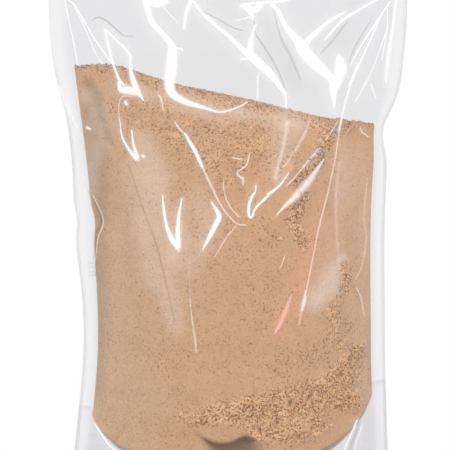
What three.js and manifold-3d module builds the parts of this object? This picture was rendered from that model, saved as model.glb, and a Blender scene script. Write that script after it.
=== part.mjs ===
// A clear stand-up film bag, sealed on all sides and filled with a kilogram of tan zeolite powder.
// Millimetres, +Z up, the front faces -Y, and the origin is on the floor under the middle of the bag.
// Three webs of film make the bag: a front panel, a back panel, and a folded gusset that forms the base.
import * as THREE from "three";
import { mergeVertices } from "three/addons/utils/BufferGeometryUtils.js";
import Module from "manifold-3d";

// Film and seals
const FILM_WIDTH = 200;
const BAG_HEIGHT = 285;
const FILM_THICKNESS = 0.15;
const SIDE_SEAL = 10.5;
const TOP_SEAL = 12;
const LAYER_GAP = 0.3;
const HAIRPIN_GAP = 1.5;

// Gusset: its fold reaches these heights in the side seals, and its seal dips to this one in the middle
const GUSSET_LEFT = 36;
const GUSSET_RIGHT = 50;
const BOTTOM_SEAL = 5;
const BASE_SAG = 9;

// How far each panel stands out from the plane of the side seals
const BASE_DEPTH = 34;
const BELLY_DEPTH = 37;
const BELLY_HEIGHT = 75;
const SHOULDER_DEPTH = 33;
const SHOULDER_HEIGHT = 175;
const FULLNESS = 2.3;

// The empty top leans back a little and waves from side to side
const TOP_LEAN = 3;
const TOP_WAVE = 3;

// The side seals swing back behind the panels, in degrees, above and below the powder's surface
const TILT_HEAD_LEFT = 4;
const TILT_HEAD_RIGHT = 34;
const TILT_FILL_LEFT = 46;
const TILT_FILL_RIGHT = 47;
const TILT_RUN = 30;

// Where a side seal swings back more, in degrees: the right one makes a neck at the powder's surface
const SWINGS = [
  { side: 1, height: 188, more: 26, spread: 15 },
  { side: -1, height: 130, more: -18, spread: 26 },
];

// Powder
const FILL_LEFT = 221;
const FILL_RIGHT = 188.5;
const FILL_MOUND = 2;
const POWDER_CLEARANCE = 0.3;
const POWDER_EDGE = 1.4;

// Where a side is drawn in: side -1 is the left and 1 the right, the rest in millimetres
const PUCKERS = [
  { side: 1, height: 190, inward: 2, spread: 13 },
  { side: -1, height: 75, inward: 5, spread: 60 },
  { side: -1, height: 137, inward: 1.6, spread: 8 },
];

// The powder's surface across the bag: share of the half width, and share of the fall from left to right
const FILL_FALL = [
  [-1, 0],
  [-0.75, 0.01],
  [-0.4, 0.3],
  [0, 0.53],
  [0.4, 0.76],
  [1, 1],
];

// Folds: each path runs through [share of the half width, share of the bag's height] and a positive rise stands out
const FRONT_FOLDS = [
  { path: [[-0.8, 0.84], [-0.7, 0.74], [-0.66, 0.71]], rise: 1.8, reach: 9 },
  { path: [[-0.8, 0.84], [-0.64, 0.79], [-0.57, 0.71]], rise: 1.6, reach: 9 },
  { path: [[-0.51, 0.92], [-0.46, 0.85], [-0.34, 0.8], [-0.36, 0.74]], rise: 2.4, reach: 11 },
  { path: [[-0.36, 0.74], [-0.2, 0.7], [-0.05, 0.68], [0.1, 0.71]], rise: 1.6, reach: 9 },
  { path: [[-0.24, 0.93], [-0.06, 0.84], [0.13, 0.78], [0.35, 0.72], [0.38, 0.69]], rise: 2.8, reach: 12 },
  { path: [[0.24, 0.93], [0.34, 0.85], [0.45, 0.81], [0.6, 0.75], [0.68, 0.7]], rise: 3, reach: 12 },
  { path: [[0.92, 0.93], [0.72, 0.85], [0.5, 0.81]], rise: 2, reach: 10 },
  { path: [[0.95, 0.9], [0.78, 0.78], [0.74, 0.68], [0.67, 0.61], [0.5, 0.55], [0.33, 0.48]], rise: 1.6, reach: 9 },
  { path: [[0.96, 0.88], [0.84, 0.7], [0.78, 0.6], [0.66, 0.44], [0.49, 0.32]], rise: 1.4, reach: 9 },
  { path: [[-0.28, 0.62], [-0.2, 0.57], [-0.11, 0.52], [0.05, 0.49]], rise: 1.2, reach: 9 },
  { path: [[-0.66, 0.57], [-0.56, 0.47], [-0.46, 0.39], [-0.38, 0.28]], rise: -0.8, reach: 9 },
];
const BACK_FOLDS = [
  { path: [[-0.85, 0.92], [-0.55, 0.82], [-0.3, 0.76]], rise: 2.2, reach: 11 },
  { path: [[-0.2, 0.93], [-0.02, 0.84], [0.1, 0.74], [0.12, 0.66]], rise: 2.6, reach: 12 },
  { path: [[0.9, 0.92], [0.62, 0.84], [0.45, 0.76]], rise: 2, reach: 11 },
  { path: [[-0.9, 0.88], [-0.72, 0.72], [-0.6, 0.56]], rise: 1.6, reach: 10 },
  { path: [[0.9, 0.87], [0.7, 0.7], [0.55, 0.5]], rise: 1.6, reach: 10 },
];
const FOLD_FADE = 14;

// Mesh density
const HALF_COLUMNS = 13;
const EDGE_BUNCHING = 0.75;
const SKIRT_STEPS = 5;
const BASE_STEPS = 8;
const ROW_PITCH_FILLED = 12;
const ROW_PITCH_HEAD = 8.5;

const INNER_HALF = FILM_WIDTH / 2 - SIDE_SEAL;
const SEAL_FOOT = BAG_HEIGHT - TOP_SEAL;
const SEAL_SEAT = (LAYER_GAP + FILM_THICKNESS) / 2;
const LAYER_STEP = LAYER_GAP + FILM_THICKNESS;
const GUSSET_ROOM = LAYER_STEP + (HAIRPIN_GAP - LAYER_GAP) / 2;
const SHARPEST_MITRE = 0.5;

const wasm = await Module();
wasm.setup();

/** A smooth curve through [at, value] stations, level beyond its ends. */
function smoothThrough(stations) {
  const count = stations.length;
  const secant = (k) =>
    (stations[k + 1][1] - stations[k][1]) / (stations[k + 1][0] - stations[k][0]);
  const slopes = stations.map((_, k) => {
    if (k === 0) return secant(0);
    if (k === count - 1) return secant(count - 2);
    return (secant(k - 1) + secant(k)) / 2;
  });
  return (at) => {
    if (at <= stations[0][0]) return stations[0][1];
    if (at >= stations[count - 1][0]) return stations[count - 1][1];
    const k = stations.findIndex((_, n) => at < stations[n + 1][0]);
    const run = stations[k + 1][0] - stations[k][0];
    const t = (at - stations[k][0]) / run;
    return (
      (2 * t ** 3 - 3 * t ** 2 + 1) * stations[k][1] +
      (t ** 3 - 2 * t ** 2 + t) * run * slopes[k] +
      (3 * t ** 2 - 2 * t ** 3) * stations[k + 1][1] +
      (t ** 3 - t ** 2) * run * slopes[k + 1]
    );
  };
}

const depthAt = smoothThrough([
  [0, BASE_DEPTH],
  [BELLY_HEIGHT, BELLY_DEPTH],
  [SHOULDER_HEIGHT, SHOULDER_DEPTH],
  [SEAL_FOOT, 0],
]);
const fallAt = smoothThrough(FILL_FALL);

/** The powder's surface over a point of the plan. */
function fillTop(share, y) {
  const crown = FILL_MOUND * (1 - Math.min(1, (y / SHOULDER_DEPTH) ** 2));
  return FILL_LEFT + (FILL_RIGHT - FILL_LEFT) * fallAt(share) + crown;
}

/** The chord that a panel of unstretched film spans when it stands out by depth in the middle. */
function halfChord(depth) {
  const pieces = 32;
  const lengthOf = (half) => {
    let length = 0;
    for (let k = 0; k < pieces; k++) {
      const rise = depth * ((k / pieces) ** FULLNESS - ((k + 1) / pieces) ** FULLNESS);
      length += Math.hypot(half / pieces, rise);
    }
    return length;
  };
  let low = 0;
  let high = INNER_HALF;
  for (let k = 0; k < 40; k++) {
    const middle = (low + high) / 2;
    if (lengthOf(middle) < INNER_HALF) low = middle;
    else high = middle;
  }
  return high;
}

/** The sum of one side's bumps at a height. */
function bumpsAt(bumps, amount, side, z) {
  return bumps
    .filter((bump) => bump.side === side)
    .reduce((sum, bump) => sum + bump[amount] * Math.exp(-(((z - bump.height) / bump.spread) ** 2)), 0);
}

/** How far the inner edge of a side seal lies from the middle of the bag. */
function halfWidth(side, z) {
  return halfChord(depthAt(z)) - bumpsAt(PUCKERS, "inward", side, z);
}

/** The plane of the side seals, which leans and waves towards the top. */
function middlePlane(share, z) {
  const up = THREE.MathUtils.smoothstep(z, BELLY_HEIGHT, BAG_HEIGHT);
  return up * (TOP_LEAN + TOP_WAVE * Math.sin(Math.PI * share));
}

function sealTilt(side, z) {
  const fill = side < 0 ? FILL_LEFT : FILL_RIGHT;
  const low = side < 0 ? TILT_FILL_LEFT : TILT_FILL_RIGHT;
  const high = side < 0 ? TILT_HEAD_LEFT : TILT_HEAD_RIGHT;
  const up = THREE.MathUtils.smoothstep(z, fill - TILT_RUN, fill + TILT_RUN / 2);
  return THREE.MathUtils.degToRad(low + (high - low) * up + bumpsAt(SWINGS, "more", side, z));
}

function gussetHeight(share) {
  const side = share < 0 ? GUSSET_LEFT : GUSSET_RIGHT;
  const inner = Math.min(1, Math.abs(share));
  return BOTTOM_SEAL + (side - BOTTOM_SEAL) * (1 - Math.sqrt(1 - inner ** 2));
}

/** The shortest way from a point to a path, and how far along the path that is. */
function nearestOnPath(point, path) {
  let best = { away: Infinity, along: 0 };
  let travelled = 0;
  for (let k = 0; k + 1 < path.length; k++) {
    const line = path[k + 1].clone().sub(path[k]);
    const t = THREE.MathUtils.clamp(point.clone().sub(path[k]).dot(line) / line.lengthSq(), 0, 1);
    const away = point.distanceTo(path[k].clone().addScaledVector(line, t));
    if (away < best.away) best = { away, along: travelled + t * line.length() };
    travelled += line.length();
  }
  return { ...best, length: travelled };
}

/** Folds laid out flat, in millimetres of film. */
function laidOut(folds) {
  return folds.map((fold) => ({
    ...fold,
    path: fold.path.map(([share, up]) => new THREE.Vector2(share * INNER_HALF, up * BAG_HEIGHT)),
  }));
}

/** How far the folds push the film out at a point, nothing in the seals. */
function foldRelief(folds, share, z) {
  const point = new THREE.Vector2(share * INNER_HALF, z);
  const held = Math.min(1, ((1 - Math.abs(share)) * INNER_HALF) / FOLD_FADE, (SEAL_FOOT - z) / FOLD_FADE);
  if (held <= 0) return 0;
  let relief = 0;
  for (const fold of folds) {
    const near = nearestOnPath(point, fold.path);
    const ends = Math.min(near.along, near.length - near.along) / FOLD_FADE;
    const taper = 0.25 + 0.75 * Math.min(1, ends);
    relief += fold.rise * taper * Math.max(0, 1 - near.away / fold.reach);
  }
  return relief * held;
}

/** How far a panel's middle surface keeps from the plane of the seals, with room for the gusset low down. */
function seat(z) {
  const top = Math.max(GUSSET_LEFT, GUSSET_RIGHT);
  const above = THREE.MathUtils.smoothstep(z, top + LAYER_STEP, top + ROW_PITCH_FILLED);
  return SEAL_SEAT + GUSSET_ROOM * (1 - above);
}

/** A point of a panel's middle surface. Shares past 1 run across the side seal, to 2 at its outer edge. */
function panelPoint(facing, folds, share, z) {
  const side = share < 0 ? -1 : 1;
  const inner = Math.min(1, Math.abs(share));
  const across = (Math.abs(share) - inner) * SIDE_SEAL;
  const tilt = sealTilt(side, z);
  const relief = foldRelief(folds, share, z);
  const spread = 1 + (1 / Math.cos(tilt) - 1) * inner;
  const out = depthAt(z) * (1 - inner ** FULLNESS) + seat(z) * spread + relief;
  return new THREE.Vector3(
    side * (inner * halfWidth(side, z) + across * Math.cos(tilt)),
    middlePlane(side * inner, z) + across * Math.sin(tilt) + facing * out,
    z,
  );
}

/** Column shares, bunched towards the side seals, with one more where the powder ends. */
function columnShares() {
  const inner = [];
  for (let k = -HALF_COLUMNS + 1; k < HALF_COLUMNS; k++) {
    const u = k / HALF_COLUMNS;
    inner.push((1 - EDGE_BUNCHING) * u + EDGE_BUNCHING * Math.sin((u * Math.PI) / 2));
  }
  const edge = 1 - POWDER_EDGE / INNER_HALF;
  return [-2, -1, -edge, ...inner, edge, 1, 2];
}

/** Row heights, closer together over the folded empty top. */
function rowHeights() {
  const split = Math.min(FILL_RIGHT, SHOULDER_HEIGHT);
  const low = Math.ceil(split / ROW_PITCH_FILLED);
  const high = Math.ceil((SEAL_FOOT - split) / ROW_PITCH_HEAD);
  const rows = [];
  for (let k = 0; k < low; k++) rows.push((split * k) / low);
  for (let k = 0; k <= high; k++) rows.push(split + ((SEAL_FOOT - split) * k) / high);
  rows.push(BAG_HEIGHT);
  return rows;
}

const SHARES = columnShares();
const ROWS = rowHeights();

/** The unit direction of a bent line at a point, longer where it bends so that offsets keep their distance. */
function bisector(before, here, after) {
  const parts = [here.clone().sub(before), after.clone().sub(here)].filter((d) => d.lengthSq() > 0);
  const sum = parts.reduce((total, d) => total.add(d.normalize()), new THREE.Vector3());
  const bend = Math.max(sum.length() / parts.length, SHARPEST_MITRE);
  return { direction: sum.normalize(), stretch: 1 / bend };
}

/** The way to the outside at a point between its four neighbours. */
function mitredNormal(left, right, below, above, here) {
  const across = bisector(left, here, right);
  const along = bisector(below, here, above);
  const normal = across.direction.cross(along.direction).normalize();
  return normal.multiplyScalar(across.stretch * along.stretch);
}

/** The grid moved by a distance to the side its normals point to. */
function offsetGrid(grid, distance) {
  const last = grid.length - 1;
  const end = grid[0].length - 1;
  return grid.map((row, i) =>
    row.map((here, j) => {
      const left = row[Math.max(j - 1, 0)];
      const right = row[Math.min(j + 1, end)];
      const below = grid[Math.max(i - 1, 0)][j];
      const above = grid[Math.min(i + 1, last)][j];
      return here.clone().addScaledVector(mitredNormal(left, right, below, above, here), distance);
    }),
  );
}

/** A closed mesh between two grids of the same size, joined round their rims. */
function closedBetween(top, bottom) {
  const rows = top.length;
  const columns = top[0].length;
  const positions = [...top.flat(), ...bottom.flat()].flatMap((p) => [p.x, p.y, p.z]);
  const at = (layer, i, j) => layer * rows * columns + i * columns + j;
  const index = [];
  const quad = (a, b, c, d) => index.push(a, b, c, a, c, d);
  for (let i = 0; i + 1 < rows; i++) {
    for (let j = 0; j + 1 < columns; j++) {
      quad(at(0, i, j), at(0, i, j + 1), at(0, i + 1, j + 1), at(0, i + 1, j));
      quad(at(1, i, j), at(1, i + 1, j), at(1, i + 1, j + 1), at(1, i, j + 1));
    }
  }
  for (let j = 0; j + 1 < columns; j++) {
    quad(at(0, 0, j), at(1, 0, j), at(1, 0, j + 1), at(0, 0, j + 1));
    quad(at(0, rows - 1, j), at(0, rows - 1, j + 1), at(1, rows - 1, j + 1), at(1, rows - 1, j));
  }
  for (let i = 0; i + 1 < rows; i++) {
    quad(at(0, i, 0), at(0, i + 1, 0), at(1, i + 1, 0), at(1, i, 0));
    quad(at(0, i, columns - 1), at(1, i, columns - 1), at(1, i + 1, columns - 1), at(0, i + 1, columns - 1));
  }
  const geometry = new THREE.BufferGeometry();
  geometry.setAttribute("position", new THREE.Float32BufferAttribute(positions, 3));
  geometry.setIndex(index);
  return geometry;
}

/** Film of the right thickness about a grid of middle points. */
function filmGeometry(grid) {
  const offFloor = (side) => side.map((row) => row.map((p) => p.setZ(Math.max(0, p.z))));
  const faces = [FILM_THICKNESS / 2, -FILM_THICKNESS / 2].map((d) => offFloor(offsetGrid(grid, d)));
  return closedBetween(...faces);
}

function panelGrid(facing, folds) {
  return ROWS.map((z) => SHARES.map((share) => panelPoint(facing, folds, share, z)));
}

/** One column of the gusset: up inside the front panel, across as the base, and down inside the back one. */
function gussetColumn(frontAt, backAt, share) {
  const height = gussetHeight(share);
  const skirt = (pointAt) => {
    const points = [];
    for (let k = 0; k <= SKIRT_STEPS; k++) points.push(pointAt(share, (height * k) / SKIRT_STEPS));
    return points;
  };
  const front = skirt(frontAt);
  const back = skirt(backAt).reverse();
  const from = front[front.length - 1];
  const to = back[0];
  const base = [];
  for (let k = 1; k < BASE_STEPS; k++) {
    const point = from.clone().lerp(to, k / BASE_STEPS);
    const bow = 1 - ((2 * k) / BASE_STEPS - 1) ** 2;
    const open = Math.max(0, 1 - Math.abs(share) ** FULLNESS);
    point.z = Math.max(FILM_THICKNESS / 2, height - BASE_SAG * Math.sqrt(bow) * open);
    base.push(point);
  }
  return [...front, ...base, ...back];
}

/** A point just inside a panel, a film and a gap from its middle surface. */
function insidePanel(facing, folds) {
  const step = 0.5;
  const pointAt = (share, z) => panelPoint(facing, folds, share, z);
  return (share, z) => {
    const aside = step / INNER_HALF;
    const here = pointAt(share, z);
    const normal = mitredNormal(
      pointAt(share - aside, z),
      pointAt(share + aside, z),
      pointAt(share, z - step),
      pointAt(share, z + step),
      here,
    );
    const moved = here.clone().addScaledVector(normal, LAYER_STEP * facing);
    moved.z = z;
    return moved;
  };
}

/** A mesh's geometry as a manifold-3d solid. */
function solidOf(geometry) {
  const bare = new THREE.BufferGeometry();
  bare.setAttribute("position", geometry.getAttribute("position"));
  bare.setIndex(geometry.getIndex());
  const merged = mergeVertices(bare, 1e-4);
  const solid = new wasm.Manifold(
    new wasm.Mesh({
      numProp: 3,
      vertProperties: new Float32Array(merged.attributes.position.array),
      triVerts: new Uint32Array(merged.index.array),
    }),
  );
  return solid;
}

function geometryOf(solid) {
  const mesh = solid.getMesh();
  const geometry = new THREE.BufferGeometry();
  geometry.setAttribute("position", new THREE.Float32BufferAttribute(mesh.vertProperties, 3));
  geometry.setIndex(new THREE.BufferAttribute(new Uint32Array(mesh.triVerts), 1));
  geometry.computeVertexNormals();
  return geometry;
}

/** Everything below a grid of points that runs outwards past the bag on every side. */
function blockUnder(grid, floor) {
  const foot = grid.map((row) => row.map((p) => new THREE.Vector3(p.x, p.y, floor)));
  return solidOf(closedBetween(grid, foot));
}

/** The grid with its rim carried outwards by a margin, level. */
function widened(grid, margin) {
  const wide = grid.map((row) => {
    const first = row[0].clone().setX(row[0].x - margin);
    const last = row[row.length - 1].clone().setX(row[row.length - 1].x + margin);
    return [first, ...row, last];
  });
  const front = wide[0].map((p) => p.clone().setY(p.y - margin));
  const back = wide[wide.length - 1].map((p) => p.clone().setY(p.y + margin));
  return [front, ...wide, back];
}

/** The powder: the room inside the panels, above the gusset and below the sloping surface. */
function powderGeometry(frontGrid, backGrid, gussetGrid) {
  const inset = FILM_THICKNESS / 2 + POWDER_CLEARANCE;
  const shares = SHARES.map((share, j) => j).filter((j) => Math.abs(SHARES[j]) < 1);
  const highest = FILL_LEFT + FILL_MOUND + ROW_PITCH_HEAD;
  const rows = ROWS.map((z, i) => i).filter((i) => i === 0 || ROWS[i - 1] < highest);
  const pick = (grid) => rows.map((i) => shares.map((j) => grid[i][j]));
  const room = solidOf(
    closedBetween(pick(offsetGrid(frontGrid, -inset)), pick(offsetGrid(backGrid, inset))),
  );
  const baseGrid = [];
  const unsealed = gussetGrid.filter((_, j) => Math.abs(SHARES[j]) <= 1);
  for (let k = SKIRT_STEPS; k <= SKIRT_STEPS + BASE_STEPS; k++) {
    baseGrid.push(unsealed.map((column) => column[k]));
  }
  const margin = FILM_WIDTH / 4;
  const under = blockUnder(widened(offsetGrid(baseGrid, inset), margin), -margin);
  const steps = HALF_COLUMNS * 2;
  const surface = [];
  for (const y of [-1, -0.6, -0.2, 0.2, 0.6, 1].map((share) => share * BELLY_DEPTH)) {
    const row = [];
    for (let k = 0; k <= steps; k++) {
      const share = (2 * k) / steps - 1;
      row.push(new THREE.Vector3(share * INNER_HALF, y, fillTop(share, y)));
    }
    surface.push(row);
  }
  const below = blockUnder(widened(surface, margin), -margin);
  return geometryOf(room.intersect(below).subtract(under));
}

const clearFilm = (name, colour) => {
  const material = new THREE.MeshStandardMaterial({ color: colour, roughness: 0.08, metalness: 0 });
  material.name = name;
  material.transparent = true;
  material.opacity = 0.3;
  return material;
};

function namedMesh(name, geometry, material) {
  geometry.computeVertexNormals();
  const mesh = new THREE.Mesh(geometry, material);
  mesh.name = name;
  return mesh;
}

const frontFolds = laidOut(FRONT_FOLDS);
const backFolds = laidOut(BACK_FOLDS);
const frontGrid = panelGrid(-1, frontFolds);
const backGrid = panelGrid(1, backFolds);
const gussetGrid = SHARES.map((share) =>
  gussetColumn(insidePanel(-1, frontFolds), insidePanel(1, backFolds), share),
);

const bag = new THREE.Group();
bag.name = "zeolite_bag";
bag.add(
  namedMesh("front_panel", filmGeometry(frontGrid), clearFilm("front_film", 0xe6e6e8)),
  namedMesh("back_panel", filmGeometry(backGrid), clearFilm("back_film", 0xe0e0e3)),
  namedMesh("bottom_gusset", filmGeometry(gussetGrid), clearFilm("gusset_film", 0xe3e3e5)),
  namedMesh(
    "zeolite_powder",
    powderGeometry(frontGrid, backGrid, gussetGrid),
    new THREE.MeshStandardMaterial({ color: 0xcba27d, roughness: 1, metalness: 0 }),
  ),
);

export default bag;
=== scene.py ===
"""Bag of zeolite: a clear stand-up pouch of film, filled with tan powder, in the CAD part's frame."""

import logging
import math
from dataclasses import dataclass, field
from enum import Enum
from functools import cached_property

import bpy
import numpy as np
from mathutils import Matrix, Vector, geometry, noise


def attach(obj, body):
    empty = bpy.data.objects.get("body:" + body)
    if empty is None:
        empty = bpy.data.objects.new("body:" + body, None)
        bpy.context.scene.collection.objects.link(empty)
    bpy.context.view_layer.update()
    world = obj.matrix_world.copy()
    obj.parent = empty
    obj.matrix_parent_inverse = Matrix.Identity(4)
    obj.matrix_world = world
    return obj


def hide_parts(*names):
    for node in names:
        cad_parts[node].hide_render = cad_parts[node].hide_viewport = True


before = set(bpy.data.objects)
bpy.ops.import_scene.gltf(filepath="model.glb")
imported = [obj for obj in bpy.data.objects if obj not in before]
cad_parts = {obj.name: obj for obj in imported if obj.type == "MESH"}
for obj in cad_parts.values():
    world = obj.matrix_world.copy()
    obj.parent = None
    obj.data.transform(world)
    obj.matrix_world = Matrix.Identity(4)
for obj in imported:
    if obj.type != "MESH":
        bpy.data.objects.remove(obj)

LOG = logging.getLogger("zeolite_bag")

Colour = tuple[float, float, float, float]
Marks = dict[str, np.ndarray]
Stations = tuple[tuple[float, float], ...]
Knots = tuple[tuple[float, float, float], ...]
"""A colour, a mesh's marks by name, a curve's (at, value) stations, and points with a half width."""

MM = 0.001
"""Metres in a millimetre: sizes are in millimetres until a mesh is made."""

CAMERA_REACH = 1150.0
"""How far in front of the side seals the camera stands."""

CAMERA_X = -2.7
CAMERA_Z = 135.4
"""The point of the side seals' plane that the camera looks at."""

PHOTO_SCALE = 0.548
"""Millimetres of the side seals' plane to a pixel of the photograph."""

PHOTO_COLUMN = 230.0
PHOTO_ROW = 472.0
"""The photograph's column at x = 0 and its row at z = 0, in that plane."""

FLAT_HALF = 80.0
"""Half a panel's width between the side seals where it is laid out flat, in millimetres."""

SOFTENING = 1.3
# How much wider than its bright part a crease's painted highlight or painted shade fades out.
"""How much wider than its bright part a crease's light fades out."""

FINE_TRACKS = (-1.0, -0.5, 0.0, 0.5, 1.0)
WIDE_TRACKS = (-0.75, -0.25, 0.25, 0.75, *FINE_TRACKS)
"""Where mesh edges run along a narrow crease and a wide one, in shares of its half width."""

MERGE = 0.05
"""How near two points of a flat net may be before they become one, in millimetres."""

NARROWEST = 0.05
"""The least half width that a line is given, in millimetres."""

TINY = 1e-9
"""Keeps a length that is divided by from being nothing."""

WHITE = (1, 1, 1, 1)
"""White, as a material's colour."""


class Facing(Enum):
    """Which way a panel looks, as the sign of its side along Y."""

    FRONT = -1
    BACK = 1


@dataclass(frozen=True)
class Crease:
    """A crease of the film, as seen from the front, carrying a painted highlight or a painted shade along it.

    Args:
        strength: how bright its painted highlight is from 0 to 1, or how dark its painted shade is from 0 to
            -1.
        path: points (column, row, half width) along it, in the photograph's pixels.
        pink_reflection: how pink its painted highlight is, a painted pink reflection, from 0 to 1.
        felt_from: the strength from which a pale crease stands out.
        dark_rise: how far a dark crease stands out, in millimetres.
        least_rise: how far the thinnest pale crease stands out, in millimetres.
        rise_by_width: how much further for each millimetre of its half width.
        least_reach: how far to its sides the thinnest crease lifts the film, in millimetres.
        reach_by_width: how much further for each millimetre of its half width.
        thinnest: the least half width of its sampled points, in millimetres.
    """

    strength: float
    path: Knots
    pink_reflection: float = 0.0
    felt_from: float = 0.34
    dark_rise: float = -0.1
    least_rise: float = 0.15
    rise_by_width: float = 0.4
    least_reach: float = 2.0
    reach_by_width: float = 2.4
    thinnest: float = 0.15

    @cached_property
    def knots(self) -> np.ndarray:
        """The path as (x, z, half width) rows in the plane of the side seals, in millimetres."""
        column, row, half = np.array(self.path, float).T
        return np.stack([column - PHOTO_COLUMN, PHOTO_ROW - row, half], axis=1) * PHOTO_SCALE

    @property
    def rise(self) -> float:
        """How far the crease stands out of the panel, in millimetres."""
        if self.strength < 0:
            return self.dark_rise
        if self.strength < self.felt_from:
            return 0.0
        return self.least_rise + self.rise_by_width * self.knots[:, 2].max()

    @property
    def reach(self) -> float:
        """How far to either side of the crease the film is lifted, in millimetres."""
        return self.least_reach + self.reach_by_width * self.knots[:, 2].max()

    def echo(self, strength: float = 0.9, width: float = 0.6) -> "Crease":
        """The same crease as it presses through to the other panel, with its painted highlight or painted
        shade.

        Args:
            strength: its strength there, as a share of its own.
            width: its width there, as a share of its own.

        Returns:
            The other panel's crease.
        """
        path = tuple((column, row, width * half) for column, row, half in self.path)
        return Crease(strength * self.strength, path)

    def sampled(self, pitch: float = 1.2) -> np.ndarray:
        """Points along a smooth curve through the path.

        Args:
            pitch: the distance between points, in millimetres.

        Returns:
            An array of (x, z, half width) rows.
        """
        knots = self.knots
        padded = np.vstack([2 * knots[0] - knots[1], knots, 2 * knots[-1] - knots[-2]])
        rows = [knots[0]]
        for k in range(1, len(padded) - 2):
            a, b, c, d = padded[k - 1 : k + 3]
            steps = max(1, int(np.hypot(*(c - b)[:2]) / pitch))
            for t in np.linspace(0, 1, steps + 1)[1:]:
                line = 2 * b + (c - a) * t
                square = (2 * a - 5 * b + 4 * c - d) * t**2
                cube = (3 * b - a - 3 * c + d) * t**3
                rows.append(0.5 * (line + square + cube))
        points = np.array(rows)
        points[:, 2] = np.clip(points[:, 2], self.thinnest, knots[:, 2].max())
        return points


@dataclass(frozen=True)
class Patch:
    """A soft-edged stretch of the bag's face, as seen from the front.

    Args:
        strength: its strength in the middle.
        path: points (x, z, radius) in the plane of the side seals.
        pink_reflection: how pink it is, a painted pink reflection, from 0 to 1.
        core: the share of its radius that a sharp patch fills.
        rim: the share of its radius where it ends.
        trim: how much sooner a sharp patch ends.
    """

    strength: float
    path: Knots
    pink_reflection: float = 0.0
    core: float = 0.45
    rim: float = 1.4
    trim: float = 0.15

    def over(self, x: np.ndarray, z: np.ndarray, sharp: float = 0.0) -> np.ndarray:
        """The patch's strength at points.

        Args:
            x: where they are across.
            z: their heights.
            sharp: how hard its edge is, from 0 to 1.

        Returns:
            The strength at each.
        """
        away, radius = nearest(np.stack([x, z], axis=-1), np.array(self.path, float))
        low, high = self.core * sharp, self.rim - self.trim * sharp
        return self.strength * (1 - smoothstep(away / radius, low, high))


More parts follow.
